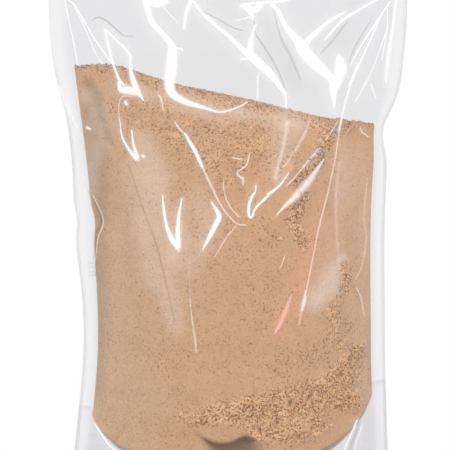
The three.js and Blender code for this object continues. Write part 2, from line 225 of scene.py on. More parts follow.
FRONT_CREASES: dict[str, tuple[Crease, ...]] = {
    "top left corner": (
        Crease(0.4, ((64.8, 0, 0.6), (69, 20, 0.7), (76.4, 57, 0.6))),
        Crease(0.6, ((69, 0, 0.8), (76, 7, 0.8), (86, 24, 0.8), (95, 39, 0.8), (111.5, 63, 0.7))),
        Crease(0.4, ((75, 7, 0.7), (88.5, 36, 0.7), (94.5, 51, 0.7), (102, 63, 0.6))),
        Crease(0.45, ((68, 16, 0.6), (75, 48, 0.7), (77.5, 65, 0.6))),
        Crease(0.25, ((60, 88, 2), (66, 104, 4), (76, 125, 2.5))),
    ),
    "peak": (
        Crease(0.9, (
            (105.4, 29.7, 0.7), (107.9, 43.6, 1), (112.7, 61.8, 1.1), (118.8, 78.8, 1.5),
            (123.6, 85, 1.5),
        )),
        Crease(0.9, (
            (105.4, 29.7, 0.7), (117.5, 41.2, 0.8), (129.7, 54.5, 1.2), (130.3, 67.9, 1.4),
            (132.5, 77.5, 3), (137.5, 91, 3.2), (143, 99.4, 0.8),
        )),
        Crease(0.95, ((119, 83, 1.5), (121.5, 90, 3.6), (128, 90, 5), (134, 92, 4.5))),
        Crease(0.36, ((118.8, 109, 0.6), (120, 100.6, 0.7), (124.8, 95.7, 0.8), (130.9, 97, 0.6))),
        Crease(0.9, ((125.8, 102.6, 1.6), (126.4, 103.6, 1.6))),
        Crease(0.65, ((88, 128, 1.8), (89.4, 128.8, 1.8))),
        Crease(0.3, ((118.8, 109, 0.5), (119.4, 116, 0.6), (120, 123, 0.7))),
        Crease(0.9, ((120, 120, 0.4), (122.4, 137, 0.9), (129.7, 150.3, 1.8), (135.7, 158, 2.4))),
        Crease(0.95, ((132, 130.9, 0.6), (133.3, 143, 1.3), (137, 156.3, 2.4))),
        Crease(0.8, ((143.2, 156, 1.5), (144, 156.8, 1.5))),
        Crease(0.4, ((159, 95, 1.2), (161.5, 100, 1), (163.5, 110, 0.8))),
        Crease(0.45, ((176, 124, 1.2), (179, 128, 1.3), (184, 133, 0.8))),
    ),
    "left sweep": (
        Crease(1, (
            (146.4, 0, 4), (147.8, 9.7, 2.4), (152.7, 23, 2.6), (164.8, 36.4, 2.6), (172, 46, 3.2),
            (172.5, 52, 4.5), (171.5, 68, 5.4), (169.5, 85, 5.4), (174, 95, 4.6), (185.4, 101.8, 3.3),
            (200, 106.6, 2.1), (209.6, 109.7, 1.4),
        )),
        Crease(0.75, (
            (209.6, 109.7, 1.3), (219.3, 112, 1.2), (230, 110.2, 1), (241.8, 105.4, 0.8),
            (247, 102, 0.6),
        )),
        Crease(0.95, ((150, 1, 4), (157, 4, 4), (165, 1, 3.5))),
        Crease(0.9, ((173, 47, 2), (180, 49, 0.5))),
        Crease(0.3, ((163.6, 7.3, 0.8), (178, 23, 0.7))),
        Crease(0.95, ((191.5, 0, 1.8), (186.6, 12, 1.6), (184.2, 28, 0.6))),
    ),
    "middle sweep": (
        Crease(1, (
            (193.3, 1, 0.6), (202.4, 13.3, 1.2), (213.3, 23, 1.6), (222, 30.5, 1.6), (232, 38.8, 1.7),
            (241.8, 48.5, 2.3), (250.3, 55, 4.3), (261, 65, 4.6), (272, 75.5, 3.6), (278, 84, 2.6),
            (285.4, 94.5, 1.4), (286, 106.6, 0.9),
        )),
        Crease(0.95, ((254.5, 27.5, 0.6), (251.3, 40, 2), (250, 50, 3.5))),
        Crease(0.9, ((240, 59.4, 0.5), (250, 58.2, 1.6))),
        Crease(0.35, ((258, 75, 1.3), (257.6, 99, 1.2))),
    ),
    "top fold": (
        Crease(0.9, ((241.2, 5.5, 1.2), (252.7, 3.4, 1.4), (271, 2.6, 1.4), (288, 0, 0.8))),
        Crease(0.95, ((242, 6, 1.2), (249, 9, 3.6), (255, 10, 3.2), (261, 6, 2))),
        Crease(0.9, ((250, 9, 3), (252.5, 18, 1.6))),
        Crease(0.5, ((239.4, 20, 0.6), (249, 17, 0.7))),
    ),
    "right sweep": (
        Crease(1, (
            (270, 3, 1.2), (278, 11, 1.7), (284.2, 24.2, 2.2), (290.3, 32.7, 3), (297.5, 40, 4.2),
            (302.5, 48.5, 6.3), (310, 58, 6.4), (321, 69, 5.4), (331.5, 78.8, 3.8), (332.9, 92, 2.9),
            (334.5, 106.6, 1),
        )),
        Crease(0.95, ((343.6, 12.7, 0.8), (329, 21.8, 1.6), (317, 31.5, 2.2), (306, 43, 3.4))),
        Crease(0.85, ((376.3, 0, 1), (359.3, 9.7, 1.1), (342.4, 20.6, 1.2), (326.6, 37.6, 0.6))),
        Crease(0.97, (
            (340, 60, 4), (340.8, 68, 6.2), (338.5, 78.8, 5.2), (334.5, 92, 2.8), (334.5, 106, 1),
        )),
    ),
    "top right corner": (
        Crease(0.6, ((389.6, 2.4, 0.8), (375, 24.2, 1), (359.3, 48.5, 0.9), (352, 62, 0.6))),
        Crease(0.7, (
            (381, 15.8, 0.7), (365.4, 51, 0.8), (353.3, 77.5, 0.9), (348.4, 91, 1.1), (342.4, 115, 1.2),
            (339.4, 129.7, 1.3),
        )),
        Crease(0.55, ((387.2, 7.3, 0.7), (387.2, 28, 0.7), (382.4, 58, 0.6))),
        Crease(0.5, ((371.5, 85, 0.9), (376, 99, 0.6))),
        Crease(0.4, ((387, 30, 0.7), (369, 77.5, 0.7), (354.5, 101.8, 0.6))),
        Crease(0.5, ((358, 63, 0.8), (348.4, 87, 0.8))),
        Crease(0.35, ((366, 80, 0.7), (357, 100, 0.7))),
        Crease(0.45, ((396, 0, 2), (393.3, 24, 2.4), (388, 60.6, 3), (386, 82, 2.4))),
    ),
    "long line": (
        Crease(0.5, (
            (339.4, 130, 1), (336.3, 151.5, 0.8), (333.6, 166.4, 0.8), (327.5, 194.2, 0.85),
            (319, 227, 0.9), (314.2, 251, 0.9), (309.4, 275.4, 0.9), (306, 292, 1.2),
        ), pink_reflection=0.35),
        Crease(0.9, ((305.6, 291, 0.8), (304.3, 301, 2.1), (302, 309.8, 1.6)), pink_reflection=0.35),
        Crease(0.3, ((301.5, 310, 1.6), (299, 324, 1.2)), pink_reflection=0.35),
        Crease(0.16, (
            (339.7, 160, 1.6), (336, 196.6, 2.2), (337.2, 239, 2.2), (338.4, 257, 1.6),
        ), pink_reflection=0.35),
    ),
    "shoulder line": (
        Crease(0.42, (
            (338, 121, 0.6), (331, 132.4, 0.8), (319, 148.2, 0.9), (307, 162.7, 0.9),
            (294.8, 177.3, 0.9), (287.9, 184.5, 0.7),
        )),
        Crease(0.85, ((287.5, 174.8, 0.7), (281.5, 183.3, 1), (275.4, 189.4, 1.4), (268.2, 194.2, 1.4))),
        Crease(0.85, ((268, 196, 1.3), (262, 201.5, 1.5), (256, 207.6, 1.2), (252.4, 214.8, 0.8))),
    ),
    "hook": (
        Crease(0.95, (
            (256, 185.7, 0.6), (255.4, 191.8, 0.8), (252.4, 196, 1.6), (249.4, 204, 1.7),
            (248.8, 213.6, 1.5), (250.6, 217.9, 1.2), (253.6, 214.8, 0.8),
        )),
    ),
    "long curve": (
        Crease(0.95, ((186.5, 136, 1.2), (191, 144, 1.9), (196.2, 153, 2), (202.2, 166.4, 1.6))),
        Crease(0.4, (
            (201, 164, 1.5), (210.7, 184.5, 1.3), (220.4, 204, 1), (230, 217.3, 0.9), (237.4, 224, 0.8),
            (245.9, 225.1, 0.7),
        )),
        Crease(0.36, ((223.4, 181, 0.6), (224.6, 193, 0.7), (230, 206.3, 0.9), (238.6, 216.6, 0.9))),
        Crease(0.33, ((236.2, 225.7, 0.7), (226.5, 237.8, 0.9), (215.6, 256, 0.7))),
    ),
    "kink": (
        Crease(0.97, (
            (212, 202.7, 0.7), (216.5, 210, 2.1), (219.6, 217, 2.9), (216, 225, 3), (211, 235, 2.5),
            (203.4, 248.8, 0.8),
        )),
    ),
    "vee": (
        Crease(0.98, ((162.8, 196.6, 0.7), (164, 210, 1.5), (167, 227, 2), (172, 239, 3.1), (178, 247, 3))),
        Crease(0.98, ((181.6, 201.5, 0.7), (179.2, 214.8, 1.6), (178, 230.6, 2.7), (178.4, 246.3, 3))),
    ),
    "small marks": (
        Crease(0.42, ((231.8, 157.3, 0.7), (238.5, 159, 0.7))),
        Crease(0.42, (
            (249.4, 154.2, 0.7), (246.4, 165, 0.9), (236.7, 173, 0.9), (242.7, 178.5, 1.9),
            (243.3, 183.3, 1.2),
        )),
        Crease(0.4, ((285, 256.6, 0.7), (280.3, 268, 0.6))),
    ),
    "pale strips": (
        Crease(0.2, ((287.5, 122, 2.2), (284, 145, 2.4), (277.9, 166.4, 2.2), (275.4, 178.5, 3))),
        Crease(0.22, ((310, 120, 1.6), (305, 133, 1.8), (294.8, 151.8, 1.6), (283.9, 166.4, 1.3))),
        Crease(0.54, (
            (323.9, 159, 0.6), (314.2, 173.6, 3.2), (305, 186, 5), (295.5, 196.5, 4.2), (284, 207, 1.8),
            (276.6, 214.8, 0.6),
        )),
    ),
    "right edge": (
        Crease(0.24, (
            (367.5, 178.5, 0.7), (363.9, 214.8, 0.7), (366.3, 239, 0.7), (361.5, 267, 0.8),
            (355.4, 279, 0.7),
        )),
        Crease(0.36, ((356.6, 287.5, 0.7), (361.5, 299.6, 0.8), (363.9, 315.4, 0.7))),
        Crease(0.5, ((360.2, 128, 0.8), (362, 132, 0.8), (368, 136.7, 0.7))),
    ),
    "pink fold": (
        Crease(0.42, ((291, 296, 1), (286.5, 309, 2.8), (281, 322, 3), (274.6, 333.6, 1)), pink_reflection=0.7),
    ),
    "low line": (
        Crease(0.1, ((189, 257, 0.9), (190, 290, 0.9), (190.3, 305, 0.9))),
        Crease(0.26, ((190.3, 300, 0.8), (192.3, 320.4, 1), (195.4, 340.8, 1.6), (196.4, 351, 1.8))),
    ),
    "left kink": (
        Crease(0.45, ((93.2, 195.4, 0.6), (103.5, 219.7, 0.7), (98, 239, 0.7), (95, 263, 0.6))),
        Crease(-0.22, (
            (88.3, 190.6, 1), (95.6, 205, 2.2), (101.3, 219.7, 2.6), (96.8, 233, 2), (95.6, 251, 1.6),
            (95.8, 275, 1),
        )),
    ),
    "foot corners": (
        Crease(0.8, ((96, 425.5, 1.1), (107.7, 443, 1.2), (115.8, 451, 1.2), (130, 460, 1))),
        Crease(0.8, ((357.3, 420, 1.1), (344.3, 450, 1.2), (338, 466, 1))),
        Crease(0.6, ((362.5, 424, 0.9), (354, 450, 1.1), (350, 466, 1))),
        Crease(-0.16, ((359.4, 422.5, 2.2), (349.7, 450, 2.5), (344, 468, 2.5))),
    ),
    "long dark line": (
        Crease(-0.14, (
            (128.3, 164, 0.7), (142.9, 207.6, 1.1), (157.4, 248.8, 1.3), (167, 287.5, 1.3),
            (172.4, 312, 0.9), (175, 325, 0.6),
        )),
    ),
}
# The front panel's creases, by the fold they belong to, each with a painted highlight, or a painted shade
# where its strength is negative.
"""The front panel's creases, by the fold they belong to."""

BACK_CREASES: dict[str, tuple[Crease, ...]] = {
    "shadows in the headspace": (
        Crease(-0.22, (
            (93, 20, 0.6), (98, 17, 0.9), (107, 21, 1.1), (116, 29, 1.1), (124, 35.5, 0.8),
            (131, 36, 0.6),
        )),
        Crease(-0.2, ((205, 12, 0.6), (220, 20, 0.9), (232, 27, 1), (243, 30.5, 0.7))),
        Crease(-0.22, (
            (254, 18, 0.8), (255, 32, 1), (263, 45, 1.1), (272, 59, 1.1), (280, 75, 1), (286, 92, 0.7),
        )),
        Crease(-0.16, ((274, 12, 0.8), (281, 38, 1.5), (290, 55, 1.8), (300, 78, 1.2))),
        Crease(-0.14, ((347, 22, 1), (333, 40, 1.6), (322, 52, 1.2))),
        Crease(-0.13, ((350, 60, 1), (356, 45, 1.5), (370, 22, 1))),
    ),
    "behind the powder": (
        Crease(0.9, ((120, 150, 0.8), (150, 170, 1.8), (168, 205, 2.4), (176, 250, 1.6), (180, 300, 0.7))),
        Crease(0.7, ((180, 160, 0.7), (196, 190, 1.4), (230, 215, 1.6), (262, 226, 0.8))),
        Crease(0.8, ((330, 150, 0.7), (312, 190, 1.6), (300, 240, 2.2), (297, 290, 1.2), (300, 330, 0.6))),
        Crease(0.45, ((255, 250, 0.7), (246, 300, 1.1), (250, 360, 0.8))),
        Crease(0.5, ((122, 270, 0.7), (134, 320, 1.3), (140, 370, 0.8))),
        Crease(-0.2, ((345, 200, 0.9), (336, 260, 1.5), (330, 330, 0.9))),
    ),
}
# The back panel's creases, which are seen through the bag or behind its powder, with painted highlights and
# painted shade.
"""The back panel's creases, which are seen through the bag or behind its powder."""

PAINTED_SHEEN_AND_SHADE: tuple[Patch, ...] = (
    Patch(0.11, ((-53, 168, 7), (-44, 149, 12), (-36, 124, 13), (-34, 100, 9), (-30, 80, 6)), pink_reflection=0.15),
    Patch(0.07, ((-18, 148, 8), (-12, 138, 10), (-16, 125, 8), (-21, 112, 6))),
    Patch(0.06, ((-48, 138, 7), (-47, 120, 7), (-44, 104, 6))),
    Patch(0.09, ((-28, 141, 5), (-27, 128, 6), (-31, 118, 5))),
    Patch(0.09, ((-48, 184, 5), (-44, 173, 7), (-38, 160, 8))),
    Patch(0.1, ((32, 193, 9), (29, 178, 9), (26, 164, 7))),
    Patch(0.18, ((62, 118, 3), (57, 110, 6), (54, 102, 8), (46, 93, 6))),
    Patch(0.12, ((42, 168, 3), (50, 178, 3))),
    Patch(0.05, ((62, 170, 4), (61, 145, 5), (60, 125, 4)), pink_reflection=0.5),
    Patch(0.1, ((45, 132, 5), (40, 112, 7), (34, 90, 7), (27, 75, 5)), pink_reflection=1.0),
    Patch(0.03, ((0, 120, 18), (4, 95, 22), (0, 75, 16)), pink_reflection=0.8),
    Patch(0.09, ((-78, 208, 5), (-72, 196, 7), (-70, 184, 8), (-76, 165, 6), (-77, 150, 5))),
    Patch(0.08, ((-50, 209, 5), (-30, 203, 7), (-5, 198, 7), (5, 196, 5))),
    Patch(-0.14, ((-78, 214, 3), (-74, 206, 4), (-70, 192, 4), (-66, 182, 3))),
    Patch(-0.1, ((-76, 190, 4), (-71, 180, 5), (-71, 165, 6), (-72, 140, 7))),
    Patch(-0.09, ((-77, 200, 6), (-75, 160, 7), (-73, 120, 7), (-73, 80, 7), (-74, 45, 6))),
    Patch(-0.1, ((81, 170, 3), (80, 120, 3), (79, 80, 3), (78, 50, 3))),
    Patch(0.05, ((52, 136, 7), (54, 122, 8), (47, 108, 6)), pink_reflection=0.5),
    Patch(-0.03, ((21, 243, 6), (29, 228, 7), (36, 212, 5))),
    Patch(-0.02, ((66, 252, 7), (60, 238, 8))),
    Patch(0.05, ((72, 176, 5), (74, 150, 5), (73, 120, 5)), pink_reflection=0.4),
    Patch(0.09, ((8, 197, 5), (28, 193, 6), (50, 189, 5))),
    Patch(0.05, ((59, 183, 7), (62, 168, 9), (62, 152, 8))),
    Patch(-0.02, ((0, 102, 15), (3, 86, 18), (2, 70, 16))),
)
# Painted sheen, where the front film is painted lighter over what is behind it as by reflected light, and
# painted shade where the strength is negative.
"""Where the front film hazes what is behind it, or darkens it where the strength is negative."""

LOOSE: tuple[Patch, ...] = (
    Patch(0.7, ((-82, 222, 3), (-55, 220, 4), (-35, 212, 5), (-10, 205, 5), (25, 198, 5), (60, 192, 6))),
    Patch(0.9, ((44, 190, 4), (57, 187, 6), (66, 190, 4))),
    Patch(1.0, ((54, 184, 6), (48, 173, 6), (38, 159, 5), (41, 150, 5), (34, 139, 6), (40, 124, 4))),
    Patch(0.7, ((24, 130, 3), (27, 128, 3))),
    Patch(0.8, ((62, 114, 3), (64, 104, 4), (61, 98, 3))),
    Patch(0.65, ((61, 98, 3), (55, 88, 5), (63, 80, 6), (54, 73, 5), (66, 69, 6))),
    Patch(0.95, ((69, 66, 6), (64, 55, 10), (52, 43, 11), (66, 39, 8))),
    Patch(0.6, ((-28, 34, 3), (-24, 29, 5))),
    Patch(1.0, ((-20, 28, 5), (-4, 33, 8), (12, 33, 11), (33, 37, 13), (50, 42, 12))),
    Patch(0.8, ((14, 22, 7), (32, 21, 8), (49, 26, 8))),
    Patch(0.42, ((24, 56, 8), (38, 63, 9), (52, 66, 8))),
    Patch(0.42, ((-62, 200, 10), (-40, 196, 14), (-15, 180, 22), (12, 180, 22), (34, 170, 12))),
    Patch(0.5, ((-30, 186, 7), (-12, 168, 9), (4, 166, 8), (-8, 156, 7))),
    Patch(0.2, ((-20, 140, 16), (10, 120, 26), (20, 90, 22))),
)
"""Where the powder is loose and crumbly."""


def smoothstep(value: np.ndarray, low: float, high: float) -> np.ndarray:
    """A smooth ramp from 0 at low to 1 at high.

    Args:
        value: where to read the ramp.
        low: where it leaves 0.
        high: where it reaches 1.

    Returns:
        The ramp's height at each value.
    """
    t = np.clip((value - low) / (high - low), 0, 1)
    return t * t * (3 - 2 * t)


def nearest(points: np.ndarray, line: np.ndarray) -> tuple[np.ndarray, np.ndarray]:
    """The distance from points to a line with a half width at each of its corners.

    Args:
        points: (x, z) rows.
        line: (x, z, half width) rows.

    Returns:
        The distances, and the half width at the nearest place of the line.
    """
    away = np.full(len(points), np.inf)
    width = np.ones(len(points))
    for a, b in zip(line[:-1], line[1:]):
        run = b[:2] - a[:2]
        t = np.clip((points - a[:2]) @ run / max(run @ run, TINY), 0, 1)
        d = np.hypot(*(points - a[:2] - t[:, None] * run).T)
        closer = d < away
        away[closer] = d[closer]
        width[closer] = (a[2] + t * (b[2] - a[2]))[closer]
    return away, np.maximum(width, NARROWEST)


def as_seen(points: np.ndarray) -> tuple[np.ndarray, np.ndarray]:
    """Where the camera sees points in the plane of the side seals.

    Args:
        points: (x, y, z) rows in millimetres.

    Returns:
        Their x and z in that plane.
    """
    scale = CAMERA_REACH / (CAMERA_REACH + points[:, 1])
    return CAMERA_X + (points[:, 0] - CAMERA_X) * scale, CAMERA_Z + (points[:, 2] - CAMERA_Z) * scale


def smooth_through(at: np.ndarray, stations: Stations) -> np.ndarray:
    """A smooth curve through (at, value) stations, level beyond its ends.

    Args:
        at: where to read the curve.
        stations: the points it goes through.

    Returns:
        The curve's value at each place.
    """
    x, y = np.array(stations, float).T
    secants = np.diff(y) / np.diff(x)
    slopes = np.concatenate([secants[:1], (secants[1:] + secants[:-1]) / 2, secants[-1:]])
    at = np.clip(np.asarray(at, float), x[0], x[-1])
    k = np.clip(np.searchsorted(x, at, side="right") - 1, 0, len(x) - 2)
    run = x[k + 1] - x[k]
    t = (at - x[k]) / run
    return (
        (2 * t**3 - 3 * t**2 + 1) * y[k]
        + (t**3 - 2 * t**2 + t) * run * slopes[k]
        + (3 * t**2 - 2 * t**3) * y[k + 1]
        + (t**3 - t**2) * run * slopes[k + 1]
    )


@dataclass(frozen=True)
class Pouch:
    """The bag's overall form: where its film and its powder run. All sizes are in millimetres.

    A place on a panel is a share of its half width, 1 at the side seal, and a height. Shares past 1 run
    across the side seal, to 2 at its outer edge. A side is -1 for the left and 1 for the right.

    Args:
        film_width: the flat film's width, with its side seals.
        height: the film's height, with its top seal.
        film: the film's thickness.
        side_seal: a side seal's width.
        top_seal: the top seal's height.
        layer_gap: the gap between two layers of film in a seal.
        hairpin_gap: the gap in the gusset's fold.
        gusset_left: the height of the gusset's fold at the left seal.
        gusset_right: its height at the right seal.
        bottom_seal: its height in the middle.
        base_sag: how far the base hangs below the fold.
        fullness: the power of the share by which a panel falls away from its middle.
        base_depth: how far a panel stands out at the floor.
        belly: the height where it stands out most.
        belly_depth: how far it stands out there.
        shoulder: the height where it begins to close.
        shoulder_depth: how far it stands out there.
        top_lean: how far the top leans back.
        top_wave: how far it waves from side to side.
        fill_left: the height of the powder's surface at the left.
        fill_right: its height at the right.
        fill_mound: how much higher it is in the middle of the bag's depth.
        fill_fall: (share, share of the fall from left to right) along that surface.
        tilts: how far the left and the right side seal swing back, below and above the powder, in degrees.
        tilt_run: how far below the powder's surface that swing begins to change.
        tilt_span: the height over which it changes.
        seat_run: how far above the gusset its room between the panels has closed.
        puckers: (side, height, inward, spread) of each place where a side is drawn in.
        pucker_blend: how fast a pucker comes on with the share.
        swings: (side, height, more degrees, spread) of each place where a side seal swings back more.
    """

    film_width: float = 200.0
    height: float = 285.0
    film: float = 0.15
    side_seal: float = 10.5
    top_seal: float = 12.0
    layer_gap: float = 0.3
    hairpin_gap: float = 1.5
    gusset_left: float = 36.0
    gusset_right: float = 50.0
    bottom_seal: float = 5.0
    base_sag: float = 9.0
    fullness: float = 2.3
    base_depth: float = 34.0
    belly: float = 75.0
    belly_depth: float = 37.0
    shoulder: float = 175.0
    shoulder_depth: float = 33.0
    top_lean: float = 3.0
    top_wave: float = 3.0
    fill_left: float = 221.0
    fill_right: float = 188.5
    fill_mound: float = 2.0
    fill_fall: Stations = (
        (-1.0, 0.0),
        (-0.75, 0.01),
        (-0.4, 0.3),
        (0.0, 0.53),
        (0.4, 0.765),
        (0.62, 0.89),
        (0.8, 0.94),
        (1.0, 1.0),
    )
    tilts: tuple[tuple[float, float], tuple[float, float]] = ((46.0, 4.0), (47.0, 34.0))
    tilt_run: float = 30.0
    tilt_span: float = 45.0
    seat_run: float = 12.0
    puckers: tuple[tuple[int, float, float, float], ...] = (
        (1, 190.0, 2.0, 13.0),
        (-1, 75.0, 5.0, 60.0),
        (-1, 137.0, 1.6, 8.0),
    )
    pucker_blend: float = 4.0
    swings: tuple[tuple[int, float, float, float], ...] = (
        (1, 188.0, 26.0, 15.0),
        (-1, 130.0, -18.0, 26.0),
    )

    @property
    def inner_half(self) -> float:
        """Half of the film between the side seals, laid flat."""
        return self.film_width / 2 - self.side_seal

    @property
    def seal_foot(self) -> float:
        """The height of the top seal's lower edge."""
        return self.height - self.top_seal

    @property
    def layer_step(self) -> float:
        """From the middle of one layer of film to the middle of the next in a seal."""
        return self.layer_gap + self.film

    def depth(self, z: np.ndarray) -> np.ndarray:
        """How far a panel stands out in the middle at height z."""
        low = ((0.0, self.base_depth), (self.belly, self.belly_depth))
        return smooth_through(z, (*low, (self.shoulder, self.shoulder_depth), (self.seal_foot, 0.0)))

    @cached_property
    def chords(self) -> tuple[np.ndarray, np.ndarray]:
        """How wide a panel of unstretched film is.

        Returns:
            Depths, and half the chord that the film spans at each.
        """
        deepest, pieces, halvings = 44, 64, 30
        depths = np.linspace(0, deepest, deepest + 1)
        shares = np.linspace(0, 1, pieces + 1)
        halves = []
        for depth in depths:
            low, high = 0.0, self.inner_half
            rise = np.diff(depth * shares**self.fullness)
            for _ in range(halvings):
                middle = (low + high) / 2
                length = np.hypot(middle / pieces, rise).sum()
                low, high = (middle, high) if length < self.inner_half else (low, middle)
            halves.append(high)
        return depths, np.array(halves)

    def half_width(self, share: np.ndarray, z: np.ndarray) -> np.ndarray:
        """From the middle of the bag to the inner edge of the side seal on the share's side.

        Args:
            share: shares of the half width.
            z: heights.

        Returns:
            The half width at each place.
        """
        width = np.interp(self.depth(z), *self.chords)
        for side, height, inward, spread in self.puckers:
            drawn = inward * np.exp(-(((z - height) / spread) ** 2))
            blend = np.minimum(1, np.abs(share) * self.pucker_blend)
            width = width - np.where(np.sign(share) == side, drawn, 0) * blend
        return width

    def middle(self, share: np.ndarray, z: np.ndarray) -> np.ndarray:
        """The plane of the side seals, which leans and waves towards the top."""
        up = smoothstep(z, self.belly, self.height)
        return up * (self.top_lean + self.top_wave * np.sin(np.pi * np.clip(share, -1, 1)))

    def tilt(self, share: np.ndarray, z: np.ndarray) -> np.ndarray:
        """How far the side seal swings back behind the panels.

        Args:
            share: shares of the half width, whose sign tells the side.
            z: heights.

        Returns:
            The swing at each place, in radians.
        """
        left, right = self.tilts
        fill = np.where(share < 0, self.fill_left, self.fill_right)
        low = np.where(share < 0, left[0], right[0])
        high = np.where(share < 0, left[1], right[1])
        t = np.clip((z - (fill - self.tilt_run)) / self.tilt_span, 0, 1)
        swing = low + (high - low) * t * t * (3 - 2 * t)
        for side, height, more, spread in self.swings:
            bump = more * np.exp(-(((z - height) / spread) ** 2))
            swing = swing + np.where((share < 0) == (side < 0), bump, 0)
        return np.radians(swing)

    def seat(self, z: np.ndarray) -> np.ndarray:
        """How far a panel's film keeps from the plane of the seals, with room for the gusset low down.

        Args:
            z: heights.

        Returns:
            The distance at each height.
        """
        top = max(self.gusset_left, self.gusset_right)
        room = self.layer_step + (self.hairpin_gap - self.layer_gap) / 2
        closed = smoothstep(z, top + self.layer_step, top + self.seat_run)
        return self.layer_step / 2 + room * (1 - closed)

    def gusset_height(self, share: np.ndarray) -> np.ndarray:
        """The height of the gusset's fold.

        Args:
            share: shares of the half width.

        Returns:
            The height at each.
        """
        side = np.where(share < 0, self.gusset_left, self.gusset_right)
        inner = np.minimum(1, np.abs(share))
        return self.bottom_seal + (side - self.bottom_seal) * (1 - np.sqrt(1 - inner**2))

    def fill_top(self, share: np.ndarray, y: np.ndarray) -> np.ndarray:
        """The height of the powder's surface over points of the plan.

        Args:
            share: their shares of the half width.
            y: how far back they are.

        Returns:
            The height over each.
        """
        fall = smooth_through(share, self.fill_fall)
        crown = self.fill_mound * (1 - np.minimum(1, (y / self.shoulder_depth) ** 2))
        return self.fill_left + (self.fill_right - self.fill_left) * fall + crown

    def panel(
        self, facing: Facing, share: np.ndarray, z: np.ndarray, out: np.ndarray | float = 0.0
    ) -> np.ndarray:
        """Points of a panel's film.

        Args:
            facing: the panel.
            share: shares of the half width.
            z: heights.
            out: how far the film is pushed out at each point.

        Returns:
            An array of (x, y, z) rows.
        """
        side = np.where(share < 0, -1.0, 1.0)
        inner = np.minimum(1, np.abs(share))
        across = (np.abs(share) - inner) * self.side_seal
        tilt = self.tilt(share, z)
        spread = 1 + (1 / np.cos(tilt) - 1) * inner
        depth = self.depth(z) * (1 - inner**self.fullness) + self.seat(z) * spread + out
        return np.stack(
            [
                side * (inner * self.half_width(share, z) + across * np.cos(tilt)),
                self.middle(side * inner, z) + across * np.sin(tilt) + facing.value * depth,
                z + 0 * share,
            ],
            axis=-1,
        )

    def seen(self, facing: Facing, x: np.ndarray, z: np.ndarray) -> tuple[np.ndarray, np.ndarray]:
        """Where a panel lies behind a point of the side seals' plane, as the camera sees it.

        Args:
            facing: the panel.
            x: where the point is across the plane.
            z: its height.

        Returns:
            The share of the half width and the height on the panel.
        """
        share, height = x / FLAT_HALF, z.copy()
        rounds = 12
        for _ in range(rounds):
            y = self.panel(facing, share, height)[..., 1]
            scale = (CAMERA_REACH + y) / CAMERA_REACH
            px = CAMERA_X + (x - CAMERA_X) * scale
            height = np.clip(CAMERA_Z + (z - CAMERA_Z) * scale, 0, self.height)
            half = self.half_width(np.sign(px) + 0 * px, height)
            beyond = (np.abs(px) - half) / np.cos(self.tilt(px, height)) / self.side_seal
            share = np.where(np.abs(px) <= half, px / half, np.sign(px) * (1 + np.clip(beyond, 0, 1)))
        return share, height


@dataclass(frozen=True)
class Surface:
    """A thin sheet's middle surface.

    Args:
        points: (x, y, z) rows in millimetres.
        faces: triangles or quads as rows of point numbers, seen from the sheet's outer side.
        marks: values at each point, by the name of their mesh attribute.
        extra: more faces, which may have another number of corners.
    """

    points: np.ndarray
    faces: np.ndarray
    marks: Marks = field(default_factory=dict)
    extra: list[np.ndarray] = field(default_factory=list)

    def normals(self) -> np.ndarray:
        """The way to the outside at the points, from the faces around each.

        Returns:
            Unit normals as (x, y, z) rows.
        """
        corners = self.points[self.faces]
        face_normals = np.cross(corners[:, 1] - corners[:, 0], corners[:, 2] - corners[:, 0])
        if self.faces.shape[1] == 4:
            face_normals += np.cross(corners[:, 2] - corners[:, 0], corners[:, 3] - corners[:, 0])
        total = np.zeros_like(self.points)
        for k in range(self.faces.shape[1]):
            np.add.at(total, self.faces[:, k], face_normals)
        return total / np.maximum(np.linalg.norm(total, axis=1, keepdims=True), TINY**2)

    def thickened(self, thickness: float) -> "Surface":
        """The closed shell about this surface.

        Args:
            thickness: the distance between its two sides.

        Returns:
            The shell, with the marks on both sides.
        """
        normals = self.normals()
        count = len(self.points)
        sides = [self.points + normals * thickness / 2, self.points - normals * thickness / 2]
        points = np.vstack(sides)
        points[:, 2] = np.maximum(points[:, 2], 0)
        ends = np.roll(self.faces, -1, axis=1)
        edges = np.stack([self.faces.ravel(), ends.ravel()], axis=1)
        keys = {(a, b) for a, b in edges.tolist()}
        rim = np.array([e for e in edges.tolist() if (e[1], e[0]) not in keys])
        walls = np.stack([rim[:, 1], rim[:, 0], rim[:, 0] + count, rim[:, 1] + count], axis=1)
        marks = {name: np.concatenate([mark, mark]) for name, mark in self.marks.items()}
        shell = Surface(points, self.faces, marks)
        shell.extra.extend([self.faces[:, ::-1] + count, walls])
        return shell

    def built(self, name: str) -> bpy.types.Object:
        """The surface as a mesh object in metres.

        Args:
            name: the object's name.

        Returns:
            The new object, smooth and with the marks as point attributes.
        """
        mesh = bpy.data.meshes.new(name)
        faces = [tuple(f) for block in (self.faces, *self.extra) for f in block.tolist()]
        mesh.from_pydata((self.points * MM).tolist(), [], faces)
        mesh.polygons.foreach_set("use_smooth", np.ones(len(mesh.polygons), bool))
        for mark, values in self.marks.items():
            attribute = mesh.attributes.new(mark, "FLOAT", "POINT")
            attribute.data.foreach_set("value", np.asarray(values, np.float32))
        mesh.update()
        made = bpy.data.objects.new(name, mesh)
        bpy.context.scene.collection.objects.link(made)
        return made


@dataclass(frozen=True)
class FlatCrease:
    """A crease on its panel, laid out flat.

    Args:
        crease: the crease.
        middle: (x, z, half width) rows along its middle, in millimetres.
        tracks: the lines of (x, z) rows that carry its mesh edges.
    """

    crease: Crease
    middle: np.ndarray
    tracks: list[np.ndarray]


